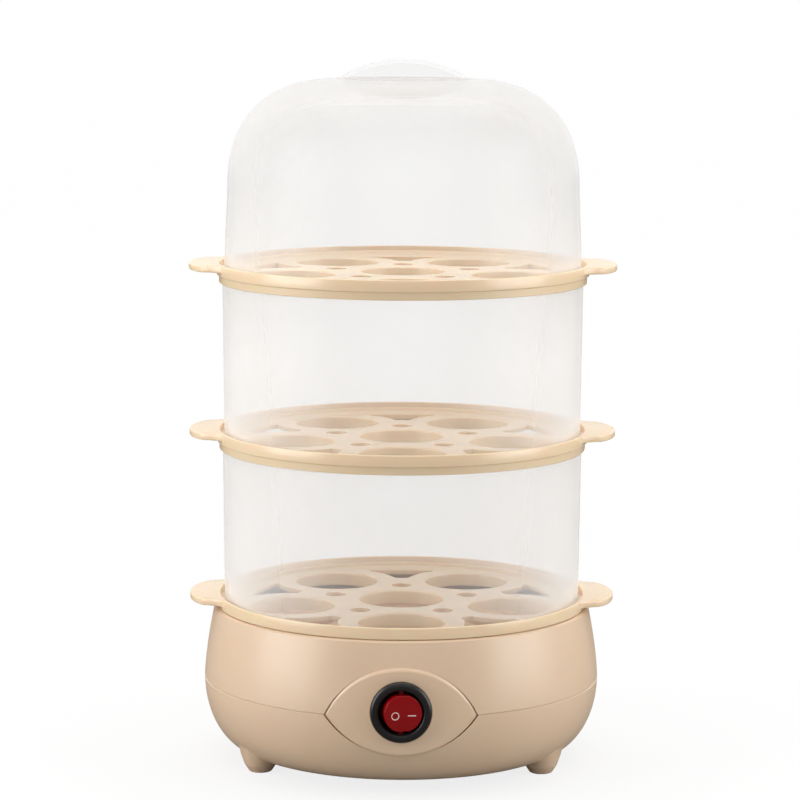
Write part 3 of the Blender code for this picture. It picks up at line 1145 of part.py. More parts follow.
def main():
    clear_scene()
    parts = new_collection("egg_boiler")
    cream = new_material("cream_plastic", (0.78, 0.60, 0.43), 0.35)
    tray_cream = new_material("tray_plastic", (0.90, 0.73, 0.52), 0.35)
    clear = new_material("clear_plastic", (0.97, 0.97, 0.98), 0.05, transmission=1.0)
    black = new_material("black_plastic", (0.03, 0.03, 0.035), 0.35)
    red = new_material("red_plastic", (0.42, 0.01, 0.015), 0.2)
    steel = new_material("steel", (0.62, 0.62, 0.63), 0.3, metallic=1.0)
    aluminium = new_material("aluminium", (0.75, 0.75, 0.76), 0.4, metallic=1.0)
    brass = new_material("brass", (0.75, 0.55, 0.22), 0.35, metallic=1.0)
    silicone = new_material("grey_silicone", (0.45, 0.45, 0.44), 0.6)
    rubber = new_material("black_rubber", (0.04, 0.04, 0.04), 0.6)
    insulation = new_material("white_insulation", (0.85, 0.83, 0.78), 0.5)
    glass = new_material("lamp_glass", (0.95, 0.75, 0.6), 0.1, transmission=0.8)

    make_lower_shell(parts, cream)
    make_upper_shell(parts, cream)
    make_shell_screws(parts, steel)
    make_dish(parts, steel)
    make_seal(parts, silicone)
    make_heater(parts, aluminium)
    make_clamp(parts, steel)
    make_clamp_nuts(parts, steel)
    make_thermostat(parts, aluminium)
    make_fuse(parts, brass)
    make_switch_housing(parts, black)
    make_switch_terminals(parts, brass)
    make_lamp(parts, glass)
    make_rocker(parts, red)
    make_gland(parts, rubber)
    make_wire_joint(parts, insulation)
    make_wires(parts, insulation)

    tray_on_ring = RING_HEIGHT + FIT_GAP - CHANNEL_ROOF
    ring_on_tray = GROOVE_FLOOR + FIT_GAP
    bottom_tray = make_tray("tray_bottom", parts, tray_cream, None, BASE_TOP_HEIGHT + FIT_GAP)
    lower_ring = make_ring("ring_lower", parts, clear, bottom_tray, ring_on_tray)
    middle_tray = make_tray("tray_middle", parts, tray_cream, lower_ring, tray_on_ring)
    upper_ring = make_ring("ring_upper", parts, clear, middle_tray, ring_on_tray)
    top_tray = make_tray("tray_top", parts, tray_cream, upper_ring, tray_on_ring)
    make_lid(parts, clear, top_tray, ring_on_tray)


main()
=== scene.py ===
"""The three-tier egg boiler as it looks: fine moulded pieces and their finishes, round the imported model.

Lengths are metres and angles are degrees, in the frame's own axes: +Z is up and the switch faces -Y.
"""

import json
import math

import bmesh
import bpy
from mathutils import Matrix, Vector


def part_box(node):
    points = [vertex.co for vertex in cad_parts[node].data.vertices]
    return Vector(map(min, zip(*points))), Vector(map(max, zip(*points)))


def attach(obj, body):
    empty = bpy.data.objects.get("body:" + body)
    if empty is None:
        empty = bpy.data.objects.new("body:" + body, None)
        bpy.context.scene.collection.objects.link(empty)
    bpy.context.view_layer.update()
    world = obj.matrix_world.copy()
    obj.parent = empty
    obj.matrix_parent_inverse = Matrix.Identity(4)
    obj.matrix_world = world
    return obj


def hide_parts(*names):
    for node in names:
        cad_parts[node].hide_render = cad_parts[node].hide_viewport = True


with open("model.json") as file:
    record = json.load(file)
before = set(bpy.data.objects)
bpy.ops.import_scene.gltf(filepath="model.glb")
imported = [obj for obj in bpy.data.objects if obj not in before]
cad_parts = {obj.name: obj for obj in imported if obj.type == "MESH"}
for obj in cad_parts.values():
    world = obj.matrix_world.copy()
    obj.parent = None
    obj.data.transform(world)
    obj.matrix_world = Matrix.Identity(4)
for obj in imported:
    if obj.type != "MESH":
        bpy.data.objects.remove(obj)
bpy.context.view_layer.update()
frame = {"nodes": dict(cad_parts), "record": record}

# Camera, fitted to the edges of the base, the trays and the lid in the photograph
CAMERA_PLACE = (-0.00098, -1.27993, 0.32660)
CAMERA_PITCH = 7.931
CAMERA_ROLL = 0.274
FOCAL_SHARE = 3136.2 / 800
SENSOR_WIDTH = 36

# Base
BODY_RADIUS = 0.0816
SEAM_HEIGHT = 0.0338
FLOOR_HEIGHT = 0.0046
FLOOR_RADIUS = 0.0630
BASE_TOP_HEIGHT = 0.0636
BASE_TOP_RADIUS = 0.0774
TAPER_POWER = 1.5
SHELL_WALL = 0.0024
FIT_GAP = 0.0003
OVERRUN = 0.0020
JOIN_OVERLAP = 0.00005
WELD_DISTANCE = 0.00001
BODY_STEPS = 192
BOWL_STEPS = 24
BAND_STEPS = 16
BEVEL_STEPS = 3
CORNER_STEPS = 5
SLOT_END_STEPS = 8
SMOOTH_ANGLE = math.radians(30)
STRAIGHT_ANGLE = math.radians(172)
SHARPEST_TURN = 0.2
EASED_SHARE = 0.45
FACING_SHARE = 0.7
SEAM_LIP_HEIGHT = 0.0021
SEAM_LIP_WALL = 0.0010
SEAM_EDGE_BREAK = 0.0003
SEAM_GAP = 0.00008
LEDGE_HEIGHT = 0.0541
LEDGE_INNER_RADIUS = 0.0625
LEDGE_WALL = 0.0022

# Eye-shaped switch boss
BOSS_HALF_WIDTH = 0.0304
BOSS_RISE = 0.0197
BOSS_DROP = 0.0157
BOSS_SETBACK = 0.0006
BOSS_FACE_RADIUS = 0.0860
BOSS_DEPTH = 0.0105
BOSS_FILLET = 0.0016
BOSS_WALL = 0.0024
BOSS_STATIONS = 24
BOSS_SPREAD = 72
BOSS_SIDE_SHARE = 0.3
PANEL_Y = BOSS_SETBACK - BODY_RADIUS

# Feet, posts and vents
FOOT_ANGLES = (-150, -30, 90)
FOOT_PITCH_RADIUS = 0.0660
FOOT_PROFILE = ((0.0045, 0.0), (0.0065, 0.0031), (0.0080, 0.0073), (0.0097, 0.0144))
FOOT_ROUNDING = 0.0012
FOOT_ROUNDING_STEPS = 4
FOOT_STEPS = 48
RECESS_HOLE_STEPS = 40
SCREW_RECESS_RADIUS = 0.0031
SCREW_SEAT_HEIGHT = 0.0090
SCREW_HOLE_RADIUS = 0.0018
SCREW_TOP_HEIGHT = 0.0300
POST_RADIUS = 0.0042
POST_SPLIT_HEIGHT = 0.0160
VENT_COUNT = 8
VENT_PITCH_RADIUS = 0.0330
VENT_LENGTH = 0.0140
VENT_WIDTH = 0.0030

# Switch
SWITCH_HEIGHT = 0.0362
SWITCH_STEPS = 96
BEZEL_RADIUS = 0.01225
BEZEL_HEIGHT = 0.0020
BEZEL_ROUNDING = 0.0017
BEZEL_ROUNDING_STEPS = 8
BEZEL_MOUTH_ROUNDING = 0.0012
SWITCH_CAVITY_RADIUS = 0.0087
SWITCH_CAVITY_DEPTH = 0.0105
SWITCH_BODY_RADIUS = 0.0100
SWITCH_BODY_DEPTH = 0.0215
HINGE_DEPTH = 0.0015
ROCKER_RADIUS = 0.0075
ROCKER_HALF_HEIGHT = 0.0071
ROCKER_RISE = 0.0044
ROCKER_BACK = 0.0025
ROCKER_WALL = 0.0014
ROCKER_FACE_ANGLE = 6
ROCKER_TILT = 10
ROCKER_EDGE = 0.0003
PIN_RADIUS = 0.0012
PIN_REACH = 0.0093
MARK_LIFT = 0.00004
MARK_DEPTH = 0.00012
MARK_HEIGHT = -0.0008
OFF_MARK_X = -0.0031
OFF_MARK_RADIUS = 0.0016
OFF_MARK_STROKE = 0.00034
ON_MARK_X = 0.0035
ON_MARK_LENGTH = 0.0032
ON_MARK_WIDTH = 0.00040
TERMINAL_PITCH = 0.0060
TERMINAL_SEAT = 0.0025
TERMINAL_WIDTH = 0.0048
TERMINAL_WALL = 0.0008

# Gland
GLAND_ANGLE = 82
GLAND_BORE_RADIUS = 0.0040
GLAND_NECK_RADIUS = 0.0052
GLAND_NOSE_RADIUS = 0.0056
GLAND_FLANGE_RADIUS = 0.0069
GLAND_FLANGE_WALL = 0.0016
GLAND_BACK_GAP = 0.0016
GLAND_BACK_WALL = 0.0018
GLAND_ROUNDING = 0.0003
GLAND_ROUNDING_STEPS = 2
GLAND_STEPS = 64

# Clear rings and lid
RING_BOTTOM_RADIUS = 0.0732
RING_TOP_RADIUS = 0.0739
CLEAR_WALL = 0.0016
CLEAR_EDGE = 0.0004
LID_RIM_RADIUS = 0.0732
LID_SIDE_RADIUS = 0.0718
LID_SIDE_HEIGHT = 0.0319
LID_HEIGHT = 0.0769
LID_SHOULDER_POWER = 2.4
LID_SHOULDER_STEPS = 40
RECESS_RADIUS = 0.0264
RECESS_DEPTH = 0.0066
RECESS_ROUNDING = 0.0006
RECESS_ROUNDING_STEPS = 4
RECESS_STEPS = 14
RECESS_CURVE = (RECESS_RADIUS**2 + RECESS_DEPTH**2) / (2 * RECESS_DEPTH)
RECESS_CENTRE = LID_HEIGHT - RECESS_DEPTH + RECESS_CURVE
HANDLE_HALF_LENGTH = 0.0272
HANDLE_RISE = 0.0082
HANDLE_WIDTH = 0.0086
HANDLE_EDGE = 0.0009
HANDLE_WALL = 0.0018
HANDLE_STEPS = 32

# Trays, with heights counted from the shoulder that rests on the piece below
TRAY_RIM_RADIUS = 0.0763
TRAY_LIP_WALL = 0.0013
TRAY_BAND_HEIGHT = 0.0047
TRAY_EDGE_BREAK = 0.0005
SKIRT_HEIGHT = 0.0033
SKIRT_WALL = 0.0011
GROOVE_DEPTH = 0.0026
GROOVE_FLOOR_WALL = 0.0017
LEDGE_DROP = 0.0016
TRAY_LEDGE_RADIUS = 0.0697
PLATE_DROP = 0.0037
PLATE_WALL = 0.0018
PLATE_RADIUS = 0.0653
COVE_RADIUS = 0.0684
COVE_RISE = 0.0008
EAR_REACH = 0.0120
EAR_STEPS = 24
EAR_FLARE_STEPS = 6
EAR_ROOT_STEPS = 16
EAR_HALF_WIDTH = 0.0220
EAR_FLARE = 0.0035
EAR_FLARE_ANGLE = 62
EAR_THICKNESS = 0.0028
EAR_EDGE = 0.0006
EGG_COUNT = 5
FIRST_EGG_ANGLE = -90
EGG_HOLE_RADIUS = 0.0172
EGG_HOLE_STEPS = 64
EGG_SEAT_ROUNDING = 0.0008
EGG_PITCH_RADIUS = 0.0470
COLLAR_WALL = 0.0014
COLLAR_HEIGHT = 0.0053
STEAM_HOLE_RADIUS = 0.00425
STEAM_HOLE_STEPS = 32
STEAM_PITCH_RADIUS = 0.0288
WINDOW_OUTER_RADIUS = 0.0622
WINDOW_INNER_RADIUS = 0.0446
WINDOW_WEB = 0.0084
WINDOW_CORNER = 0.0016
WINDOW_STEPS = 4
WINDOW_OUTER_STEPS = 6

# Clear plastic's pale veil, whose colour darkens towards the top as painted shade
CLEAR_LOW_COLOUR = (0.95, 0.945, 0.94)
CLEAR_SHADED_TOP_COLOUR = (0.76, 0.755, 0.75)
CLEAR_HAZE_LOW = 0.130
CLEAR_HAZE_HIGH = 0.060
CLEAR_HAZE_SWING = 0.1
CLEAR_LOW_HEIGHT = 0.08
CLEAR_HIGH_HEIGHT = 0.24
CLEAR_TOP_HEIGHT = 0.34
CLEAR_EDGE_POWER = 1.1
CLEAR_EDGE_SHARE = 0.50
CLEAR_CLOUD_SCALE = 14
CLEAR_GRAIN_SCALE = 900
CLEAR_ROUGHNESS = (0.26, 0.36)

# Clouds of colour, and the grain of plastic and metal
COLOUR_LOW_STOP = 0.35
COLOUR_HIGH_STOP = 0.65
MOULDED_SMOOTHER = 0.05
MOULDED_ROUGHER = 0.07
MOULDED_GRAIN_SCALE = 2600
MOULDED_GRAIN_DEPTH = 0.00005
METAL_SMOOTHER = 0.08
METAL_ROUGHER = 0.12
METAL_GRAIN = 0.12
METAL_GRAIN_DEPTH = 0.00004

# Light, floor and softboxes
WORLD_FRONT = 0.24
WORLD_BACK = 0.95
WORLD_TURN_LOW = -0.25
WORLD_TURN_HIGH = 0.45
CLEAR_SURFACES = 40
FLOOR_HALF_SIZE = 6
FLOOR_ROUGHNESS = 0.9
FLOOR_SHADE = 0.14
FLOOR_BOUNCE = 0.26
FLOOR_FAR_GLOW = 0.918
FLOOR_LIT_SHARE = 0.098
FLOOR_LIT_REACH = 0.85
FLOOR_LIT_POWER = 3
SOFTBOXES = (
    ("left_softbox", (-0.9, -0.35, 0.32), (0, 0, 0.10), (0.7, 1.0), 8.4),
    ("right_softbox", (0.9, -0.30, 0.30), (0, 0, 0.10), (0.7, 1.0), 7.2),
    ("top_softbox", (0, 0.10, 1.10), (0, 0, 0.10), (1.0, 1.0), 6.6),
    ("front_softbox", (0.1, -1.6, 0.75), (0, 0, 0.12), (0.9, 0.9), 1.5),
)


# Finishes


def new_finish(name, colour, roughness, **sockets):
    """A Principled material with the values that are the same all over."""
    material = bpy.data.materials.new(name)
    material.use_nodes = True
    shader = material.node_tree.nodes["Principled BSDF"]
    shader.inputs["Base Color"].default_value = (*colour, 1)
    shader.inputs["Roughness"].default_value = roughness
    for socket, value in sockets.items():
        shader.inputs[socket.replace("_", " ")].default_value = value
    return material, shader


def add_node(material, kind, **settings):
    node = material.node_tree.nodes.new(kind)
    for key, value in settings.items():
        setattr(node, key, value)
    return node


def speckle(material, scale, detail=4, stretch=(1, 1, 1)):
    """Noise on Object coordinates, stretched along an axis for brushed or drawn metal."""
    links = material.node_tree.links
    place = add_node(material, "ShaderNodeTexCoord")
    mapping = add_node(material, "ShaderNodeMapping")
    mapping.inputs["Scale"].default_value = stretch
    noise = add_node(material, "ShaderNodeTexNoise")
    noise.inputs["Scale"].default_value = scale
    noise.inputs["Detail"].default_value = detail
    links.new(place.outputs["Object"], mapping.inputs["Vector"])
    links.new(mapping.outputs["Vector"], noise.inputs["Vector"])
    return noise.outputs["Fac"]


def vary_colour(material, shader, source, low, high):
    ramp = add_node(material, "ShaderNodeValToRGB")
    ramp.color_ramp.elements[0].position = COLOUR_LOW_STOP
    ramp.color_ramp.elements[1].position = COLOUR_HIGH_STOP
    ramp.color_ramp.elements[0].color = (*low, 1)
    ramp.color_ramp.elements[1].color = (*high, 1)
    material.node_tree.links.new(source, ramp.inputs["Fac"])
    material.node_tree.links.new(ramp.outputs["Color"], shader.inputs["Base Color"])


def vary_socket(material, shader, socket, source, low, high):
    span = add_node(material, "ShaderNodeMapRange")
    span.inputs["To Min"].default_value = low
    span.inputs["To Max"].default_value = high
    material.node_tree.links.new(source, span.inputs["Value"])
    material.node_tree.links.new(span.outputs["Result"], shader.inputs[socket])


def add_grain(material, shader, source, strength, distance):
    bump = add_node(material, "ShaderNodeBump")
    bump.inputs["Strength"].default_value = strength
    bump.inputs["Distance"].default_value = distance
    material.node_tree.links.new(source, bump.inputs["Height"])
    material.node_tree.links.new(bump.outputs["Normal"], shader.inputs["Normal"])


def moulded_finish(name, low, high, roughness, cloud_scale=22, grain=0.06, **sockets):
    """Moulded plastic: faint clouds of colour from the melt's flow, and a fine satin grain."""
    material, shader = new_finish(name, high, roughness, **sockets)
    clouds = speckle(material, cloud_scale, 3)
    vary_colour(material, shader, clouds, low, high)
    fine = speckle(material, MOULDED_GRAIN_SCALE, 2)
    vary_socket(material, shader, "Roughness", fine, roughness - MOULDED_SMOOTHER, roughness + MOULDED_ROUGHER)
    add_grain(material, shader, fine, grain, MOULDED_GRAIN_DEPTH)
    return material


def metal_finish(name, low, high, roughness, stretch, scale=500, metallic=1.0):
    material, shader = new_finish(name, high, roughness, Metallic=metallic)
    lines = speckle(material, scale, 5, stretch)
    vary_colour(material, shader, lines, low, high)
    vary_socket(material, shader, "Roughness", lines, roughness - METAL_SMOOTHER, roughness + METAL_ROUGHER)
    add_grain(material, shader, lines, METAL_GRAIN, METAL_GRAIN_DEPTH)
    return material


def clear_finish(name):
    """Clear plastic with a pale veil, thicker where it turns away from the eye and lower down, and darker on
    top as painted shade.
    """
    material, shader = new_finish(name, CLEAR_LOW_COLOUR, 0.3, IOR=1.49)
    links = material.node_tree.links
    place = add_node(material, "ShaderNodeTexCoord")
    parts = add_node(material, "ShaderNodeSeparateXYZ")
    links.new(place.outputs["Object"], parts.inputs["Vector"])
    haze = add_node(material, "ShaderNodeMapRange")
    haze.inputs["From Min"].default_value = CLEAR_LOW_HEIGHT
    haze.inputs["From Max"].default_value = CLEAR_HIGH_HEIGHT
    haze.inputs["To Min"].default_value = CLEAR_HAZE_LOW
    haze.inputs["To Max"].default_value = CLEAR_HAZE_HIGH
    links.new(parts.outputs["Z"], haze.inputs["Value"])
    # The veil's colour runs from the low colour to a darker one towards the top: painted shade that holds back
    # the top lamp on the lid.
    rise = add_node(material, "ShaderNodeMapRange")
    rise.inputs["From Min"].default_value = CLEAR_LOW_HEIGHT
    rise.inputs["From Max"].default_value = CLEAR_TOP_HEIGHT
    links.new(parts.outputs["Z"], rise.inputs["Value"])
    vary_colour(material, shader, rise.outputs["Result"], CLEAR_LOW_COLOUR, CLEAR_SHADED_TOP_COLOUR)
    cloud = add_node(material, "ShaderNodeMapRange")
    cloud.inputs["To Min"].default_value = 1 - CLEAR_HAZE_SWING
    cloud.inputs["To Max"].default_value = 1 + CLEAR_HAZE_SWING
    links.new(speckle(material, CLEAR_CLOUD_SCALE, 2), cloud.inputs["Value"])
    veil = add_node(material, "ShaderNodeMath", operation="MULTIPLY")
    links.new(haze.outputs["Result"], veil.inputs[0])
    links.new(cloud.outputs["Result"], veil.inputs[1])
    turned = add_node(material, "ShaderNodeLayerWeight")
    turned.inputs["Blend"].default_value = 0.5
    edge = add_node(material, "ShaderNodeMath", operation="POWER")
    edge.inputs[1].default_value = CLEAR_EDGE_POWER
    links.new(turned.outputs["Facing"], edge.inputs[0])
    total = add_node(material, "ShaderNodeMath", operation="MULTIPLY_ADD", use_clamp=True)
    total.inputs[1].default_value = CLEAR_EDGE_SHARE
    links.new(edge.outputs["Value"], total.inputs[0])
    links.new(veil.outputs["Value"], total.inputs[2])
    links.new(total.outputs["Value"], shader.inputs["Alpha"])
    vary_socket(material, shader, "Roughness", speckle(material, CLEAR_GRAIN_SCALE, 2), *CLEAR_ROUGHNESS)
    return material


def make_finishes():
    cream = moulded_finish(
        "cream_moulding", (0.730, 0.532, 0.362), (0.755, 0.557, 0.384), 0.34, Specular_IOR_Level=0.6,
        Coat_Weight=0.50, Coat_Roughness=0.34, Subsurface_Weight=0.10, Subsurface_Scale=0.003,
    )
    tray = moulded_finish(
        "tray_moulding", (0.850, 0.655, 0.430), (0.875, 0.680, 0.456), 0.24, Specular_IOR_Level=0.9,
        Subsurface_Weight=0.25, Subsurface_Scale=0.004,
    )
    return {
        "cream": cream,
        "tray": tray,
        "clear": clear_finish("clear_moulding"),
        "black": moulded_finish(
            "black_moulding", (0.010, 0.009, 0.009), (0.014, 0.013, 0.012), 0.30, grain=0.1
        ),
        "red": moulded_finish(
            "red_clear_moulding", (0.24, 0.0015, 0.003), (0.30, 0.003, 0.005), 0.16, Specular_IOR_Level=0.35
        ),
        "print": moulded_finish("white_print", (0.80, 0.66, 0.64), (0.86, 0.72, 0.70), 0.5),
        # The dish's warm orange colour is painted warm light: the glow that the orange trays let into the base.
        "dish": metal_finish(
            "brushed_dish_painted_warm_light", (0.90, 0.68, 0.46), (0.95, 0.74, 0.52), 0.38, (1, 40, 40), metallic=0.6
        ),
        "steel": metal_finish("brushed_steel", (0.50, 0.50, 0.51), (0.66, 0.66, 0.67), 0.28, (1, 40, 40)),
        "aluminium": metal_finish(
            "drawn_aluminium", (0.66, 0.66, 0.67), (0.80, 0.80, 0.81), 0.38, (30, 1, 30)
        ),
        "brass": metal_finish("rolled_brass", (0.62, 0.44, 0.16), (0.78, 0.58, 0.25), 0.32, (40, 1, 40)),
        "silicone": moulded_finish("grey_silicone", (0.60, 0.57, 0.53), (0.66, 0.63, 0.59), 0.58, grain=0.15),
        "rubber": moulded_finish(
            "black_rubber", (0.022, 0.022, 0.022), (0.032, 0.032, 0.032), 0.55, grain=0.2
        ),
        "insulation": moulded_finish("white_insulation", (0.80, 0.78, 0.72), (0.87, 0.85, 0.80), 0.45),
        "lamp": moulded_finish("lamp_glass", (0.85, 0.62, 0.50), (0.92, 0.72, 0.60), 0.12, Alpha=0.6),
    }


# Modelling


def polar(radius, degrees):
    return radius * math.cos(math.radians(degrees)), radius * math.sin(math.radians(degrees))


def arc(centre, radius, start, end, steps):
    """Points of an arc in a plane, from the start angle to the end angle."""
    points = []
    for step in range(steps + 1):
        x, y = polar(radius, start + (end - start) * step / steps)
        points.append((centre[0] + x, centre[1] + y))
    return points


def rounded(outline, radius, steps=3, closed=False):
    """The outline with each corner eased by a short curve of up to that radius."""
    points = [Vector(point) for point in outline]
    eased = []
    for number, corner in enumerate(points):
        if not closed and number in (0, len(points) - 1):
            eased.append(corner)
            continue
        before = points[number - 1] - corner
        after = points[(number + 1) % len(points)] - corner
        turn = before.angle(after, 0)
        if turn > STRAIGHT_ANGLE:
            eased.append(corner)
            continue
        wanted = radius / math.tan(max(turn, SHARPEST_TURN) / 2)
        reach = min(wanted, before.length * EASED_SHARE, after.length * EASED_SHARE)
        start, end = corner + before.normalized() * reach, corner + after.normalized() * reach
        for step in range(steps + 1):
            share = step / steps
            eased.append(start * (1 - share) ** 2 + corner * 2 * share * (1 - share) + end * share**2)
    return [tuple(point) for point in eased]


def mesh_from(bm, name):
    mesh = bpy.data.meshes.new(name)
    bm.to_mesh(mesh)
    bm.free()
    return mesh


def lathe_mesh(name, outline, closed, steps, place=None):
    """Spins a profile of (radius, height) points about +Z and closes it at the axis."""
    bm = bmesh.new()
    corners = [bm.verts.new((radius, 0, height)) for radius, height in outline]
    edges = [bm.edges.new(pair) for pair in zip(corners, corners[1:])]
    if closed:
        edges.append(bm.edges.new((corners[-1], corners[0])))
    bmesh.ops.spin(
        bm, geom=[*corners, *edges], cent=(0, 0, 0), axis=(0, 0, 1), angle=math.tau, steps=steps, use_merge=True
    )
    bmesh.ops.remove_doubles(bm, verts=bm.verts, dist=WELD_DISTANCE)
    bmesh.ops.dissolve_degenerate(bm, edges=bm.edges, dist=WELD_DISTANCE)
    bmesh.ops.recalc_face_normals(bm, faces=bm.faces)
    if place is not None:
        bmesh.ops.transform(bm, matrix=place, verts=bm.verts)
    return mesh_from(bm, name)


def post_mesh(name, radius, low, high, places, steps):
    """Upright cylinders at the given places."""
    bm = bmesh.new()
    for x, y in places:
        middle = Matrix.Translation((x, y, (low + high) / 2))
        bmesh.ops.create_cone(
            bm, cap_ends=True, segments=steps, radius1=radius, radius2=radius, depth=high - low, matrix=middle
        )
    return mesh_from(bm, name)


def box_mesh(name, low, high, place=None):
    bm = bmesh.new()
    size = Vector(high) - Vector(low)
    middle = Matrix.Translation((Vector(high) + Vector(low)) / 2)
    bmesh.ops.create_cube(bm, size=1, matrix=middle @ Matrix.Diagonal((*size, 1)))
    if place is not None:
        bmesh.ops.transform(bm, matrix=place, verts=bm.verts)
    return mesh_from(bm, name)


def slab_mesh(name, outlines, low, high, edge=0.0, place=None, is_eased=None):
    """Flat outlines raised from low to high. The test names the corners whose rims are eased by the edge."""
    bm = bmesh.new()
    for outline in outlines:
        corners = [bm.verts.new((x, y, low)) for x, y in outline]
        face = bm.faces.new(corners)
        raised = bmesh.ops.extrude_face_region(bm, geom=[face])["geom"]
        tops = [item for item in raised if isinstance(item, bmesh.types.BMVert)]
        bmesh.ops.translate(bm, vec=(0, 0, high - low), verts=tops)
    bmesh.ops.recalc_face_normals(bm, faces=bm.faces)
    if edge:
        flat = {face for face in bm.faces if abs(face.normal.z) > FACING_SHARE}
        rim = [item for item in bm.edges if len(flat.intersection(item.link_faces)) == 1]
        if is_eased is not None:
            rim = [item for item in rim if all(is_eased(vert.co) for vert in item.verts)]
        bmesh.ops.bevel(
            bm, geom=rim, offset=edge, segments=BEVEL_STEPS, profile=0.5, affect="EDGES", material=-1
        )
    if place is not None:
        bmesh.ops.transform(bm, matrix=place, verts=bm.verts)
    return mesh_from(bm, name)


def add_piece(name, mesh):
    obj = bpy.data.objects.new(name, mesh)
    bpy.context.scene.collection.objects.link(obj)
    return obj


def combine(piece, mesh, operation="DIFFERENCE"):
    tool = add_piece(f"{mesh.name}_tool", mesh)
    tool.hide_render = True
    modifier = piece.modifiers.new(mesh.name, "BOOLEAN")
    modifier.operation = operation
    modifier.solver = "EXACT"
    modifier.object = tool


def settle(piece):
    """Applies the piece's modifiers, clears their tools away and welds the result."""
    bpy.context.view_layer.update()
    graph = bpy.context.evaluated_depsgraph_get()
    mesh = bpy.data.meshes.new_from_object(piece.evaluated_get(graph))
    tools = [modifier.object for modifier in piece.modifiers if modifier.type == "BOOLEAN"]
    piece.modifiers.clear()
    for tool in tools:
        bpy.data.objects.remove(tool, do_unlink=True)
    bm = bmesh.new()
    bm.from_mesh(mesh)
    bmesh.ops.remove_doubles(bm, verts=bm.verts, dist=WELD_DISTANCE)
    bmesh.ops.dissolve_degenerate(bm, edges=bm.edges, dist=WELD_DISTANCE)
    bm.to_mesh(mesh)
    bm.free()
    piece.data = mesh
    return piece


def finish_piece(piece, finish, body, slot, *nodes):
    """Shades the piece, gives it its finish and says what it rides on and what it stands for. The slot is not
    used.
    """
    mesh = piece.data
    mesh.materials.clear()
    mesh.materials.append(finish)
    mesh.shade_smooth()
    mesh.set_sharp_from_angle(angle=SMOOTH_ANGLE)
    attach(piece, body)
    if nodes:
        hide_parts(*nodes)
    return piece


def standing_front(depth=0.0, height=0.0):
    """Turns a shape that points along +Z to point out of the front, and sets it at a depth and a height."""
    return Matrix.Translation((0, depth, height)) @ Matrix.Rotation(math.radians(90), 4, "X")


# Base with its switch and gland


def body_radius(height):
    rise_share = max(0.0, (height - SEAM_HEIGHT) / (BASE_TOP_HEIGHT - SEAM_HEIGHT))
    return BODY_RADIUS - (BODY_RADIUS - BASE_TOP_RADIUS) * rise_share**TAPER_POWER


def bowl_outline(inset):
    """The base's quarter ellipse from the seam down to the floor, moved in by the inset."""
    points = []
    for step in range(BOWL_STEPS + 1):
        across, down = polar(1, 90 * step / BOWL_STEPS)
        radius = FLOOR_RADIUS + (BODY_RADIUS - FLOOR_RADIUS - inset) * across
        points.append((radius, SEAM_HEIGHT - (SEAM_HEIGHT - FLOOR_HEIGHT - inset) * down))
    return points


def foot_places():
    return [polar(FOOT_PITCH_RADIUS, angle) for angle in FOOT_ANGLES]


def eye_heights(x, inset):
    """Heights of the upper and the lower arc of the boss at a distance x from its middle."""
    half_width = BOSS_HALF_WIDTH - inset
    heights = []
    for rise in (BOSS_RISE - inset, BOSS_DROP - inset):
        radius = (half_width**2 + rise**2) / (2 * rise)
        heights.append(math.sqrt(radius**2 - x**2) - radius + rise)
    return SEAM_HEIGHT + heights[0], SEAM_HEIGHT - heights[1]


def eye_stations(inset):
    """Places across the boss, closer together towards its corners."""
    half_width = BOSS_HALF_WIDTH - inset
    widest = math.sin(math.radians(BOSS_SPREAD))
    return [
        half_width * math.sin(math.radians(BOSS_SPREAD * step / BOSS_STATIONS)) / widest
        for step in range(-BOSS_STATIONS, BOSS_STATIONS + 1)
    ]


def boss_sag(x):
    """How far the curved face of the boss lies behind its middle at a distance x from it."""
    return BOSS_FACE_RADIUS - math.sqrt(BOSS_FACE_RADIUS**2 - x**2)


def is_front_rim(edge):
    if len(edge.link_faces) != 2:
        return False
    shares = sorted(-face.normal.y for face in edge.link_faces)
    return shares[0] < BOSS_SIDE_SHARE and shares[1] > FACING_SHARE


def eye_mesh(name, inset, front_y, back_y, curved, fillet=0.0):
    """The eye outline as a solid between two depths. A curved one follows the face of the boss in front."""
    stations = eye_stations(inset)
    bm = bmesh.new()
    rows = []
    for x in stations:
        upper, lower = eye_heights(x, inset)
        rows.append([bm.verts.new((x, 0, upper))])
        if upper - lower > WELD_DISTANCE:
            rows[-1].append(bm.verts.new((x, 0, lower)))
    for left, right in zip(rows, rows[1:]):
        bm.faces.new([*left, *reversed(right)])
    raised = bmesh.ops.extrude_face_region(bm, geom=list(bm.faces))["geom"]
    backs = [item for item in raised if isinstance(item, bmesh.types.BMVert)]
    bmesh.ops.translate(bm, vec=(0, back_y, 0), verts=backs)
    for vert in set(bm.verts) - set(backs):
        vert.co.y = front_y + (boss_sag(vert.co.x) if curved else 0)
    bmesh.ops.recalc_face_normals(bm, faces=bm.faces)
    if fillet:
        bm.normal_update()
        rim = [edge for edge in bm.edges if is_front_rim(edge)]
        bmesh.ops.bevel(
            bm, geom=rim, offset=fillet, segments=CORNER_STEPS, profile=0.5, affect="EDGES", material=-1
        )
    return mesh_from(bm, name)


def gland_place():
    turned = Matrix.Rotation(math.radians(GLAND_ANGLE), 4, "Z") @ Matrix.Rotation(math.radians(90), 4, "Y")
    return Matrix.Translation((0, 0, SEAM_HEIGHT)) @ turned


def gland_hole(name):
    low, high = BODY_RADIUS - SHELL_WALL - OVERRUN, BODY_RADIUS + OVERRUN
    mesh = post_mesh(name, GLAND_NECK_RADIUS + FIT_GAP, low, high, [(0, 0)], GLAND_STEPS)
    mesh.transform(gland_place())
    return mesh


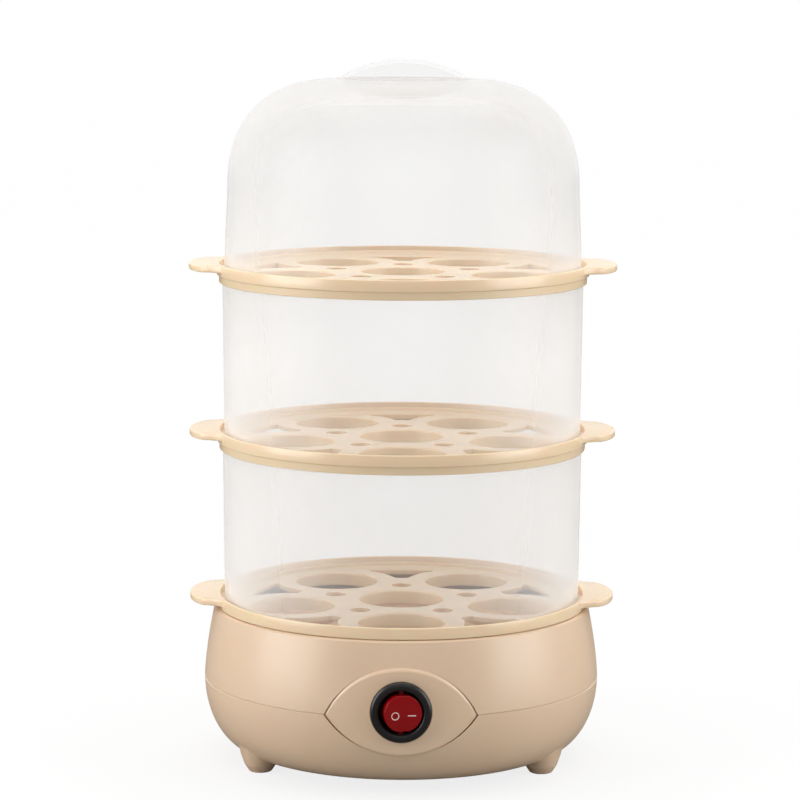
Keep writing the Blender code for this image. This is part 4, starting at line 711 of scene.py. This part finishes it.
def vent_mesh():
    """Round-ended slots that point at the middle of the floor."""
    radius = VENT_WIDTH / 2
    half_run = VENT_LENGTH / 2 - radius
    slot = arc((half_run, 0), radius, -90, 90, SLOT_END_STEPS)
    slot += arc((-half_run, 0), radius, 90, 270, SLOT_END_STEPS)
    outlines = []
    for number in range(VENT_COUNT):
        around = Matrix.Rotation(math.tau * (number + 0.5) / VENT_COUNT, 2)
        outlines.append([around @ Vector((VENT_PITCH_RADIUS + x, y)) for x, y in slot])
    return slab_mesh("vents", outlines, FLOOR_HEIGHT - OVERRUN, FLOOR_HEIGHT + SHELL_WALL + OVERRUN)


def make_lower_shell(finish):
    floor_top = FLOOR_HEIGHT + SHELL_WALL
    lip_inner = BODY_RADIUS - SHELL_WALL
    lip_outer = lip_inner + SEAM_LIP_WALL
    lip_top = SEAM_HEIGHT + SEAM_LIP_HEIGHT
    rim = SEAM_HEIGHT - SEAM_GAP / 2
    outline = [(0, floor_top), *reversed(bowl_outline(SHELL_WALL)), (lip_inner, lip_top), (lip_outer, lip_top)]
    outline += [(lip_outer, rim), (BODY_RADIUS - SEAM_EDGE_BREAK, rim), (BODY_RADIUS, rim - SEAM_EDGE_BREAK)]
    outline += [*bowl_outline(0)[1:], (0, FLOOR_HEIGHT)]
    shell = add_piece("base_bowl", lathe_mesh("base_bowl", outline, False, BODY_STEPS))

    foot = [(0, FOOT_PROFILE[-1][1]), *reversed(FOOT_PROFILE), (0, 0)]
    foot = [foot[0], foot[1], *rounded(foot[1:], FOOT_ROUNDING, FOOT_ROUNDING_STEPS)[1:]]
    for number, (x, y) in enumerate(foot_places(), 1):
        mesh = lathe_mesh(f"foot_{number}", foot, False, FOOT_STEPS, Matrix.Translation((x, y, 0)))
        combine(shell, mesh, "UNION")
    room_top = lip_top + OVERRUN
    room = [(0, room_top), (lip_inner - JOIN_OVERLAP, room_top), *bowl_outline(SHELL_WALL + JOIN_OVERLAP)]
    room += [(0, floor_top + JOIN_OVERLAP)]
    combine(shell, lathe_mesh("room", room, False, BODY_STEPS))
    tube_bottom = floor_top - SHELL_WALL / 2
    tubes = post_mesh("tubes", POST_RADIUS, tube_bottom, POST_SPLIT_HEIGHT, foot_places(), FOOT_STEPS)
    combine(shell, tubes, "UNION")
    seat, top = SCREW_SEAT_HEIGHT, POST_SPLIT_HEIGHT + OVERRUN
    hole = [(0, top), (SCREW_HOLE_RADIUS, top), (SCREW_HOLE_RADIUS, seat), (SCREW_RECESS_RADIUS, seat)]
    hole += [(SCREW_RECESS_RADIUS, -OVERRUN), (0, -OVERRUN)]
    for x, y in foot_places():
        combine(shell, lathe_mesh("screw_hole", hole, False, RECESS_HOLE_STEPS, Matrix.Translation((x, y, 0))))
    combine(shell, vent_mesh())
    front_y, back_y = -BODY_RADIUS - OVERRUN, PANEL_Y + BOSS_DEPTH + OVERRUN
    combine(shell, eye_mesh("notch", -SEAM_GAP - JOIN_OVERLAP, front_y, back_y, False))
    combine(shell, gland_hole("gland_hole_low"))
    finish_piece(settle(shell), finish, "base", "cream_plastic", "lower_shell")


def make_upper_shell(finish):
    edge = SEAM_HEIGHT + SEAM_GAP / 2
    rebate_radius = BODY_RADIUS - SHELL_WALL + SEAM_LIP_WALL + FIT_GAP
    rebate_top = SEAM_HEIGHT + SEAM_LIP_HEIGHT + FIT_GAP
    ledge_bottom = LEDGE_HEIGHT - LEDGE_WALL
    mouth_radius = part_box("dish_seal")[1][0] + FIT_GAP
    side_top = BASE_TOP_HEIGHT - 2 * SEAM_EDGE_BREAK
    shares = [step / BAND_STEPS for step in range(BAND_STEPS + 1)]
    sides = [edge + SEAM_EDGE_BREAK + (side_top - edge - SEAM_EDGE_BREAK) * share for share in shares]
    walls = [rebate_top + (ledge_bottom - rebate_top) * share for share in shares]
    outline = [(BASE_TOP_RADIUS - SHELL_WALL / 3, BASE_TOP_HEIGHT)]
    outline += [(BASE_TOP_RADIUS - SHELL_WALL / 9, side_top + SEAM_EDGE_BREAK)]
    outline += [(body_radius(height), height) for height in reversed(sides)]
    outline += [(BODY_RADIUS - SEAM_EDGE_BREAK, edge), (rebate_radius, edge), (rebate_radius, rebate_top)]
    outline += [(body_radius(height) - SHELL_WALL, height) for height in walls]
    outline += [(LEDGE_INNER_RADIUS, ledge_bottom), (LEDGE_INNER_RADIUS, LEDGE_HEIGHT)]
    outline += [(mouth_radius, LEDGE_HEIGHT), (mouth_radius, BASE_TOP_HEIGHT)]
    shell = add_piece("base_band", lathe_mesh("base_band", outline, True, BODY_STEPS))

    front_y = -BODY_RADIUS - OVERRUN
    back_y = PANEL_Y + BOSS_DEPTH
    combine(shell, eye_mesh("eye_cut", 0, front_y, back_y + OVERRUN, False))
    combine(shell, eye_mesh("boss", -JOIN_OVERLAP, PANEL_Y, back_y, True, BOSS_FILLET), "UNION")
    panel = standing_front(PANEL_Y, SWITCH_HEIGHT)
    pad = post_mesh("pad", BEZEL_RADIUS + FIT_GAP, -BOSS_WALL, 0, [(0, 0)], SWITCH_STEPS)
    pad.transform(panel)
    combine(shell, pad, "UNION")
    combine(shell, eye_mesh("boss_hollow", BOSS_WALL, PANEL_Y + BOSS_WALL, back_y + OVERRUN, True))
    hole = post_mesh("switch_hole", SWITCH_BODY_RADIUS + FIT_GAP, -BOSS_DEPTH, OVERRUN, [(0, 0)], SWITCH_STEPS)
    hole.transform(panel)
    combine(shell, hole)
    post_top = LEDGE_HEIGHT - LEDGE_WALL / 2
    low = POST_SPLIT_HEIGHT + FIT_GAP
    combine(shell, post_mesh("posts", POST_RADIUS, low, post_top, foot_places(), FOOT_STEPS), "UNION")
    bottom = low - OVERRUN
    post_holes = post_mesh("post_holes", SCREW_HOLE_RADIUS, bottom, SCREW_TOP_HEIGHT, foot_places(), FOOT_STEPS)
    combine(shell, post_holes)
    combine(shell, gland_hole("gland_hole_high"))
    finish_piece(settle(shell), finish, "base", "cream_plastic", "upper_shell")


def make_switch(finishes):
    """The black housing with its rounded bezel, then the red key with its two printed marks."""
    base = FIT_GAP
    face = base + BEZEL_HEIGHT
    mouth = SWITCH_CAVITY_RADIUS + BEZEL_MOUTH_ROUNDING
    outline = [(0, -SWITCH_CAVITY_DEPTH), (SWITCH_CAVITY_RADIUS, -SWITCH_CAVITY_DEPTH)]
    outline += arc((mouth, face - BEZEL_MOUTH_ROUNDING), BEZEL_MOUTH_ROUNDING, 180, 90, CORNER_STEPS)
    turn = BEZEL_RADIUS - BEZEL_ROUNDING
    outline += arc((turn, face - BEZEL_ROUNDING), BEZEL_ROUNDING, 90, 0, BEZEL_ROUNDING_STEPS)
    outline += [(BEZEL_RADIUS, base), (SWITCH_BODY_RADIUS, base), (SWITCH_BODY_RADIUS, -SWITCH_BODY_DEPTH)]
    outline += [(0, -SWITCH_BODY_DEPTH)]
    panel = standing_front(PANEL_Y, SWITCH_HEIGHT)
    housing = add_piece("switch_bezel", lathe_mesh("switch_bezel", outline, False, SWITCH_STEPS, panel))
    hinge_y = PANEL_Y + HINGE_DEPTH
    reach = PIN_REACH + FIT_GAP
    sockets = post_mesh("sockets", PIN_RADIUS + FIT_GAP, -reach, reach, [(0, 0)], FOOT_STEPS)
    sockets.transform(Matrix.Translation((0, hinge_y, SWITCH_HEIGHT)))
    combine(housing, sockets)
    back_y = PANEL_Y + SWITCH_BODY_DEPTH
    half = Vector((TERMINAL_WALL / 2 + FIT_GAP, 0, TERMINAL_WIDTH / 2 + FIT_GAP))
    for number in (-1, 0, 1):
        seat = Vector((TERMINAL_PITCH * number, back_y - TERMINAL_SEAT - FIT_GAP, SWITCH_HEIGHT))
        end = Vector((TERMINAL_PITCH * number, back_y + OVERRUN, SWITCH_HEIGHT))
        combine(housing, box_mesh("pocket", seat - half, end + half))
    finish_piece(settle(housing), finishes["black"], "base", "black_plastic", "switch_housing")

    tilt = Matrix.Rotation(math.radians(ROCKER_TILT), 4, "Z")
    place = Matrix.Translation((0, hinge_y, SWITCH_HEIGHT)) @ tilt
    slope = math.tan(math.radians(ROCKER_FACE_ANGLE))
    edge_rise = ROCKER_RISE + ROCKER_RADIUS * slope
    valley = [(-ROCKER_RADIUS, -edge_rise), (0, -ROCKER_RISE), (ROCKER_RADIUS, -edge_rise)]
    block = [*valley, (ROCKER_RADIUS, ROCKER_BACK), (-ROCKER_RADIUS, ROCKER_BACK)]
    key = slab_mesh("rocker_key", [block], -ROCKER_HALF_HEIGHT, ROCKER_HALF_HEIGHT, place=place)
    rocker = add_piece("rocker_key", key)
    back = -ROCKER_BACK - OVERRUN
    rim = post_mesh("rocker_rim", ROCKER_RADIUS, back, edge_rise + OVERRUN, [(0, 0)], SWITCH_STEPS)
    rim.transform(place @ standing_front())
    combine(rocker, rim, "INTERSECT")
    room_radius, room_front = ROCKER_RADIUS - ROCKER_WALL, ROCKER_RISE - ROCKER_WALL
    hollow = post_mesh("rocker_hollow", room_radius, back, room_front, [(0, 0)], FOOT_STEPS)
    hollow.transform(place @ standing_front())
    combine(rocker, hollow)
    settle(rocker)
    bevel = rocker.modifiers.new("edge", "BEVEL")
    bevel.width = ROCKER_EDGE
    bevel.segments = BEVEL_STEPS
    bevel.limit_method = "ANGLE"
    bevel.angle_limit = SMOOTH_ANGLE
    settle(rocker)
    for side in (-1, 1):
        low, high = sorted((side * (ROCKER_HALF_HEIGHT - ROCKER_WALL / 2), side * PIN_REACH))
        pin = post_mesh("pin", PIN_RADIUS, low, high, [(0, 0)], FOOT_STEPS)
        pin.transform(place)
        combine(rocker, pin, "UNION")
    finish_piece(settle(rocker), finishes["red"], "rocker", "red_plastic", "switch_rocker")

    for name, x, side in (("mark_off", OFF_MARK_X, -1), ("mark_on", ON_MARK_X, 1)):
        leaning = Matrix.Rotation(math.radians(-side * ROCKER_FACE_ANGLE), 4, "Z")
        spot = Matrix.Translation((x, -ROCKER_RISE - abs(x) * slope - MARK_LIFT, MARK_HEIGHT))
        on_face = place @ spot @ leaning @ standing_front()
        if side < 0:
            inner, outer = OFF_MARK_RADIUS - OFF_MARK_STROKE, OFF_MARK_RADIUS
            ring = [(inner, -MARK_DEPTH), (outer, -MARK_DEPTH), (outer, 0), (inner, 0)]
            mark = add_piece(name, lathe_mesh(name, ring, True, FOOT_STEPS, on_face))
        else:
            half_length, half_width = ON_MARK_LENGTH / 2, ON_MARK_WIDTH / 2
            low, high = (-half_length, -half_width, -MARK_DEPTH), (half_length, half_width, 0)
            mark = add_piece(name, box_mesh(name, low, high, on_face))
        finish_piece(mark, finishes["print"], "rocker", "red_plastic")


def make_gland(finish):
    angle = math.radians(GLAND_ANGLE)
    nose = (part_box("cord_gland")[1][1] - GLAND_NOSE_RADIUS * math.cos(angle)) / math.sin(angle)
    flange_back = BODY_RADIUS + FIT_GAP
    collar_front = BODY_RADIUS - SHELL_WALL - GLAND_BACK_GAP
    flange_front = flange_back + GLAND_FLANGE_WALL
    outline = [(GLAND_BORE_RADIUS, nose), (GLAND_NOSE_RADIUS, nose), (GLAND_NOSE_RADIUS, flange_front)]
    outline += [(GLAND_FLANGE_RADIUS, flange_front), (GLAND_FLANGE_RADIUS, flange_back)]
    outline += [(GLAND_NECK_RADIUS, flange_back), (GLAND_NECK_RADIUS, collar_front)]
    outline += [(GLAND_FLANGE_RADIUS, collar_front), (GLAND_FLANGE_RADIUS, collar_front - GLAND_BACK_WALL)]
    outline += [(GLAND_BORE_RADIUS, collar_front - GLAND_BACK_WALL)]
    section = rounded(outline, GLAND_ROUNDING, GLAND_ROUNDING_STEPS, True)
    mesh = lathe_mesh("gland", section, True, GLAND_STEPS, gland_place())
    finish_piece(add_piece("gland", mesh), finish, "base", "black_rubber", "cord_gland")


# Trays, rings and lid


def ear_outline(side):
    """A half ellipse that leaves the rim in two small flares. Its root lies within the rim's lip."""
    root = TRAY_RIM_RADIUS - TRAY_LIP_WALL / 2
    flare_y = EAR_HALF_WIDTH + EAR_FLARE
    start = Vector((math.sqrt(root**2 - flare_y**2), flare_y))
    corner = Vector((math.sqrt(TRAY_RIM_RADIUS**2 - EAR_HALF_WIDTH**2), EAR_HALF_WIDTH))
    quarter = arc((0, 0), 1, EAR_FLARE_ANGLE, 0, EAR_STEPS)
    ellipse = [Vector((EAR_REACH * x, EAR_HALF_WIDTH * y)) for x, y in quarter]
    end = Vector((root, 0)) + ellipse[0]
    shares = [step / EAR_FLARE_STEPS for step in range(EAR_FLARE_STEPS)]
    flare = [start * (1 - share) ** 2 + corner * 2 * share * (1 - share) + end * share**2 for share in shares]
    half = flare + [Vector((root, 0)) + point for point in ellipse]
    outline = half + [Vector((point.x, -point.y)) for point in reversed(half[:-1])]
    spread = math.degrees(math.asin(flare_y / root))
    outline += arc((0, 0), root, -spread, spread, EAR_ROOT_STEPS)[1:-1]
    return [(side * point[0], point[1]) for point in outline]


def ring_of_places(radius, offset):
    angles = [FIRST_EGG_ANGLE + 360 * (number + offset) / EGG_COUNT for number in range(EGG_COUNT)]
    return [polar(radius, angle) for angle in angles]


def window_outline(number):
    """A cut-out near the rim between two egg holes, whose sides run round the holes."""
    half_angle = 180 / EGG_COUNT
    side_radius = EGG_HOLE_RADIUS + WINDOW_WEB
    egg = Vector(polar(EGG_PITCH_RADIUS, half_angle))
    corners = []
    for radius in (WINDOW_OUTER_RADIUS, WINDOW_INNER_RADIUS):
        cosine = (radius**2 + EGG_PITCH_RADIUS**2 - side_radius**2) / (2 * radius * EGG_PITCH_RADIUS)
        corners.append(Vector(polar(radius, half_angle - math.degrees(math.acos(cosine)))))
    outer_angle = math.degrees(math.atan2(corners[0].y, corners[0].x))
    start, end = [math.degrees(math.atan2(*(corner - egg).yx)) % 360 for corner in corners]
    side = arc(egg, side_radius, start, end, WINDOW_STEPS)
    outline = arc((0, 0), WINDOW_OUTER_RADIUS, -outer_angle, outer_angle, WINDOW_OUTER_STEPS)[1:-1] + side
    outline += [(x, -y) for x, y in reversed(side)]
    around = Matrix.Rotation(math.radians(FIRST_EGG_ANGLE + 2 * half_angle * (number + 0.5)), 2)
    return rounded([around @ Vector(point) for point in outline], WINDOW_CORNER, WINDOW_STEPS, True)


def is_outside_rim(corner):
    return corner.xy.length >= TRAY_RIM_RADIUS


def tray_mesh():
    """One tray with its shoulder at height zero. All three trays are copies of it."""
    groove_outer = TRAY_RIM_RADIUS - TRAY_LIP_WALL
    groove_inner = RING_BOTTOM_RADIUS - CLEAR_WALL - FIT_GAP
    skirt_inner = RING_TOP_RADIUS + FIT_GAP
    skirt_outer = skirt_inner + SKIRT_WALL
    channel_inner = RING_TOP_RADIUS - CLEAR_WALL - FIT_GAP
    groove_floor = TRAY_BAND_HEIGHT - GROOVE_DEPTH
    channel_roof = groove_floor - GROOVE_FLOOR_WALL
    plate_top = TRAY_BAND_HEIGHT - PLATE_DROP
    plate_bottom = plate_top - PLATE_WALL
    ledge = TRAY_BAND_HEIGHT - LEDGE_DROP
    outline = [(0, plate_top), (PLATE_RADIUS, plate_top), (COVE_RADIUS, plate_top + COVE_RISE)]
    outline += [(TRAY_LEDGE_RADIUS, ledge), (groove_inner, ledge), (groove_inner, groove_floor)]
    outline += [(groove_outer, groove_floor), (groove_outer, TRAY_BAND_HEIGHT)]
    outline += [(TRAY_RIM_RADIUS, TRAY_BAND_HEIGHT), (TRAY_RIM_RADIUS, 0), (skirt_outer, 0)]
    outline += [(skirt_outer, -SKIRT_HEIGHT), (skirt_inner, -SKIRT_HEIGHT)]
    outline += [(skirt_inner, channel_roof), (channel_inner, channel_roof), (channel_inner, plate_bottom)]
    outline += [(0, plate_bottom)]
    tray = add_piece("tray", lathe_mesh("tray", rounded(outline, TRAY_EDGE_BREAK, 3), False, BODY_STEPS))
    for side in (-1, 1):
        top = TRAY_BAND_HEIGHT - JOIN_OVERLAP
        ear = slab_mesh("ear", [ear_outline(side)], top - EAR_THICKNESS, top, EAR_EDGE, None, is_outside_rim)
        combine(tray, ear, "UNION")
    eggs = [(0, 0), *ring_of_places(EGG_PITCH_RADIUS, 0)]
    collar_bottom = plate_top - COLLAR_HEIGHT
    collar_radius = EGG_HOLE_RADIUS + COLLAR_WALL
    collar_top = plate_top - PLATE_WALL / 2
    collars = post_mesh("collars", collar_radius, collar_bottom, collar_top, eggs, EGG_HOLE_STEPS)
    combine(tray, collars, "UNION")
    centre = (EGG_HOLE_RADIUS + EGG_SEAT_ROUNDING, plate_top - EGG_SEAT_ROUNDING)
    seat = arc(centre, EGG_SEAT_ROUNDING, 90, 180, CORNER_STEPS)
    above = plate_top + OVERRUN
    hole = [(0, above), (seat[0][0], above), *seat, (EGG_HOLE_RADIUS, collar_bottom - OVERRUN)]
    hole += [(0, collar_bottom - OVERRUN)]
    for x, y in eggs:
        combine(tray, lathe_mesh("egg_hole", hole, False, EGG_HOLE_STEPS, Matrix.Translation((x, y, 0))))
    below = plate_bottom - OVERRUN
    steam_places = ring_of_places(STEAM_PITCH_RADIUS, 0.5)
    combine(tray, post_mesh("steam_holes", STEAM_HOLE_RADIUS, below, above, steam_places, STEAM_HOLE_STEPS))
    windows = [window_outline(number) for number in range(EGG_COUNT)]
    combine(tray, slab_mesh("windows", windows, below, above))
    mesh = settle(tray).data
    bpy.data.objects.remove(tray, do_unlink=True)
    return mesh


def make_trays(finish):
    shape = tray_mesh()
    for name in ("tray_bottom", "tray_middle", "tray_top"):
        mesh = shape.copy()
        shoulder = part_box(name)[1][2] - TRAY_BAND_HEIGHT
        mesh.transform(Matrix.Translation((0, 0, shoulder)))
        finish_piece(add_piece(f"{name}_moulding", mesh), finish, name, "tray_plastic", name)


def make_rings(finish):
    for name in ("ring_lower", "ring_upper"):
        low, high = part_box(name)[0][2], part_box(name)[1][2]
        outline = [(RING_TOP_RADIUS - CLEAR_WALL, high), (RING_TOP_RADIUS, high)]
        outline += [(RING_BOTTOM_RADIUS, low), (RING_BOTTOM_RADIUS - CLEAR_WALL, low)]
        mesh = lathe_mesh(f"{name}_tube", rounded(outline, CLEAR_EDGE, 3, True), True, BODY_STEPS)
        finish_piece(add_piece(f"{name}_tube", mesh), finish, name, "clear_plastic", name)


def inner_side(outline, wall):
    """The outline moved in by the wall, to the left of its run, with its corners mitred."""
    points = [Vector(point) for point in outline]
    runs = [(end - start).normalized() for start, end in zip(points, points[1:])]
    moved = []
    for number, point in enumerate(points):
        before, after = runs[max(number - 1, 0)], runs[min(number, len(runs) - 1)]
        across = Vector((before.y + after.y, -before.x - after.x)).normalized()
        moved.append(point + across * wall / across.dot(Vector((after.y, -after.x))))
    return moved


def lid_outline():
    """The lid's section: the dished recess, the domed shoulder, the nearly upright wall and back inside."""
    rise = LID_HEIGHT - LID_SIDE_HEIGHT
    reach = LID_SIDE_RADIUS - RECESS_RADIUS
    power = 2 / LID_SHOULDER_POWER
    shoulder = []
    for step in range(LID_SHOULDER_STEPS + 1):
        across, up = polar(1, 90 * (1 - step / LID_SHOULDER_STEPS))
        shoulder.append((RECESS_RADIUS + reach * max(across, 0) ** power, LID_SIDE_HEIGHT + rise * up**power))
    spread = math.degrees(math.asin(RECESS_RADIUS / RECESS_CURVE))
    dish = arc((0, RECESS_CENTRE), RECESS_CURVE, -90, spread - 90, RECESS_STEPS)
    dish[0] = (0, dish[0][1])
    outer = [*dish[:-1], *shoulder, (LID_RIM_RADIUS, 0)]
    inner = inner_side(outer, CLEAR_WALL)
    edge = inner[RECESS_STEPS].x
    dome = [point for point in inner[RECESS_STEPS + 1 :] if point.x > edge + CLEAR_EDGE]
    inner = inner[: RECESS_STEPS + 1] + dome
    inner[0].x = 0
    inner[-1].y = 0
    outside = outer[: RECESS_STEPS + 1] + outer[RECESS_STEPS + 2 :]
    recess = rounded(outside, RECESS_ROUNDING, RECESS_ROUNDING_STEPS)
    return [*recess, *rounded([tuple(point) for point in reversed(inner)], CLEAR_EDGE, 2)]


def is_on_arch(corner):
    return corner.y >= LID_HEIGHT - FIT_GAP


def handle_mesh(name, inset):
    """The grip as an arched fin along X that stands in the dished recess. Its hollow opens downwards."""
    half_length = HANDLE_HALF_LENGTH - inset
    half_width = HANDLE_WIDTH / 2 - inset
    radius = (HANDLE_HALF_LENGTH**2 + HANDLE_RISE**2) / (2 * HANDLE_RISE)
    centre = LID_HEIGHT + HANDLE_RISE - radius
    spread = math.degrees(math.asin(half_length / (radius - inset)))
    outline = arc((0, centre), radius - inset, 90 - spread, 90 + spread, HANDLE_STEPS)
    if inset:
        floor = LID_HEIGHT - RECESS_DEPTH - CLEAR_WALL - OVERRUN
        outline += [(-half_length, floor), (half_length, floor)]
        return slab_mesh(name, [outline], -half_width, half_width, place=standing_front())
    curve = RECESS_CURVE + CLEAR_WALL - FIT_GAP
    reach = math.degrees(math.asin(half_length / curve))
    outline += arc((0, RECESS_CENTRE), curve, -90 - reach, reach - 90, HANDLE_STEPS)
    return slab_mesh(name, [outline], -half_width, half_width, HANDLE_EDGE, standing_front(), is_on_arch)


def make_lid(finish):
    lid = add_piece("lid_dome", lathe_mesh("lid_dome", lid_outline(), False, BODY_STEPS))
    combine(lid, handle_mesh("handle", 0), "UNION")
    combine(lid, handle_mesh("handle_hollow", HANDLE_WALL))
    settle(lid)
    lid.data.transform(Matrix.Translation((0, 0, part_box("tray_top")[1][2] - GROOVE_DEPTH + FIT_GAP)))
    finish_piece(lid, finish, "lid", "clear_plastic", "lid")


# Inner pieces, light, floor and camera


def paint_nodes(finishes):
    """The inner CAD pieces keep their shapes and take the same finishes."""
    by_slot = {
        "cream_plastic": "cream",
        "tray_plastic": "tray",
        "clear_plastic": "clear",
        "black_plastic": "black",
        "red_plastic": "red",
        "steel": "steel",
        "aluminium": "aluminium",
        "brass": "brass",
        "grey_silicone": "silicone",
        "black_rubber": "rubber",
        "white_insulation": "insulation",
        "lamp_glass": "lamp",
    }
    for entry in frame["record"]["subparts"]:
        node = frame["nodes"][entry["node"]]
        # The heating dish takes the dish finish, whose warm colour is painted warm light.
        finish = "dish" if entry["node"] == "heating_dish" else by_slot[entry["material_slot"]]
        node.data.materials.clear()
        node.data.materials.append(finishes[finish])


def add_softbox(name, place, target, size, power):
    light = bpy.data.lights.new(name, "AREA")
    light.shape = "RECTANGLE"
    light.size, light.size_y = size
    light.energy = power
    lamp = bpy.data.objects.new(name, light)
    bpy.context.scene.collection.objects.link(lamp)
    lamp.location = place
    lamp.rotation_mode = "QUATERNION"
    lamp.rotation_quaternion = (Vector(target) - Vector(place)).to_track_quat("-Z", "Y")


def seen_ray(tree, *rays):
    """One for the named kinds of rays and nought for all others."""
    path = tree.nodes.new("ShaderNodeLightPath")
    total = None
    for ray in rays:
        if total is None:
            total = path.outputs[ray]
            continue
        add = tree.nodes.new("ShaderNodeMath")
        add.operation = "ADD"
        add.use_clamp = True
        tree.links.new(total, add.inputs[0])
        tree.links.new(path.outputs[ray], add.inputs[1])
        total = add.outputs["Value"]
    return total


def make_world():
    """White to the camera. As light it is bright behind the object, like a lit backdrop, and dim in front."""
    world = bpy.data.worlds.new("studio")
    bpy.context.scene.world = world
    world.use_nodes = True
    tree = world.node_tree
    background = tree.nodes["Background"]
    background.inputs["Color"].default_value = (1, 1, 1, 1)
    place = tree.nodes.new("ShaderNodeTexCoord")
    parts = tree.nodes.new("ShaderNodeSeparateXYZ")
    tree.links.new(place.outputs["Generated"], parts.inputs["Vector"])
    glow = tree.nodes.new("ShaderNodeMapRange")
    glow.interpolation_type = "SMOOTHSTEP"
    glow.inputs["From Min"].default_value = WORLD_TURN_LOW
    glow.inputs["From Max"].default_value = WORLD_TURN_HIGH
    glow.inputs["To Min"].default_value = WORLD_FRONT
    glow.inputs["To Max"].default_value = WORLD_BACK
    tree.links.new(parts.outputs["Y"], glow.inputs["Value"])
    level = tree.nodes.new("ShaderNodeMix")
    level.data_type = "FLOAT"
    tree.links.new(seen_ray(tree, "Is Camera Ray", "Is Transmission Ray"), level.inputs["Factor"])
    tree.links.new(glow.outputs["Result"], level.inputs["A"])
    level.inputs["B"].default_value = 1
    tree.links.new(level.outputs["Result"], background.inputs["Strength"])


def make_floor():
    """A floor that looks white: it glows by as much as the lamps leave out, and keeps the shadow."""
    grey = (FLOOR_SHADE, FLOOR_SHADE, FLOOR_SHADE)
    material, shader = new_finish("floor", grey, FLOOR_ROUGHNESS, Specular_IOR_Level=0.0)
    tree = material.node_tree
    shader.inputs["Emission Color"].default_value = (1, 1, 1, 1)
    place = add_node(material, "ShaderNodeTexCoord")
    distance = add_node(material, "ShaderNodeVectorMath", operation="LENGTH")
    tree.links.new(place.outputs["Object"], distance.inputs[0])
    bounce = add_node(material, "ShaderNodeMath", operation="MULTIPLY_ADD")
    bounce.inputs[1].default_value = FLOOR_BOUNCE
    bounce.inputs[2].default_value = FLOOR_SHADE
    tree.links.new(seen_ray(tree, "Is Diffuse Ray"), bounce.inputs[0])
    tree.links.new(bounce.outputs["Value"], shader.inputs["Base Color"])
    lit = distance.outputs["Value"]
    fall = (("DIVIDE", FLOOR_LIT_REACH), ("POWER", FLOOR_LIT_POWER), ("ADD", 1), ("POWER", -1))
    for operation, value in fall:
        step = add_node(material, "ShaderNodeMath", operation=operation)
        step.inputs[1].default_value = value
        tree.links.new(lit, step.inputs[0])
        lit = step.outputs["Value"]
    glow = add_node(material, "ShaderNodeMath", operation="MULTIPLY_ADD")
    glow.inputs[1].default_value = -FLOOR_LIT_SHARE
    glow.inputs[2].default_value = FLOOR_FAR_GLOW
    tree.links.new(lit, glow.inputs[0])
    seen = add_node(material, "ShaderNodeMath", operation="MULTIPLY")
    tree.links.new(glow.outputs["Value"], seen.inputs[0])
    tree.links.new(seen_ray(tree, "Is Camera Ray", "Is Transmission Ray"), seen.inputs[1])
    tree.links.new(seen.outputs["Value"], shader.inputs["Emission Strength"])
    bm = bmesh.new()
    bmesh.ops.create_grid(bm, x_segments=1, y_segments=1, size=FLOOR_HALF_SIZE)
    floor = add_piece("floor", mesh_from(bm, "floor"))
    floor.data.materials.append(material)


def make_camera():
    data = bpy.data.cameras.new("camera")
    data.sensor_width = SENSOR_WIDTH
    data.lens = SENSOR_WIDTH * FOCAL_SHARE
    camera = bpy.data.objects.new("camera", data)
    bpy.context.scene.collection.objects.link(camera)
    tipped = Matrix.Rotation(math.radians(90 - CAMERA_PITCH), 4, "X")
    rolled = Matrix.Rotation(math.radians(CAMERA_ROLL), 4, "Z")
    camera.matrix_world = Matrix.Translation(CAMERA_PLACE) @ tipped @ rolled
    bpy.context.scene.camera = camera


def make_stage():
    scene = bpy.context.scene
    scene.view_settings.view_transform = "Standard"
    scene.cycles.transparent_max_bounces = CLEAR_SURFACES
    make_world()
    make_floor()
    for softbox in SOFTBOXES:
        add_softbox(*softbox)
    make_camera()


def main():
    finishes = make_finishes()
    paint_nodes(finishes)
    make_lower_shell(finishes["cream"])
    make_upper_shell(finishes["cream"])
    make_switch(finishes)
    make_gland(finishes["rubber"])
    make_trays(finishes["tray"])
    make_rings(finishes["clear"])
    make_lid(finishes["clear"])
    make_stage()


main()
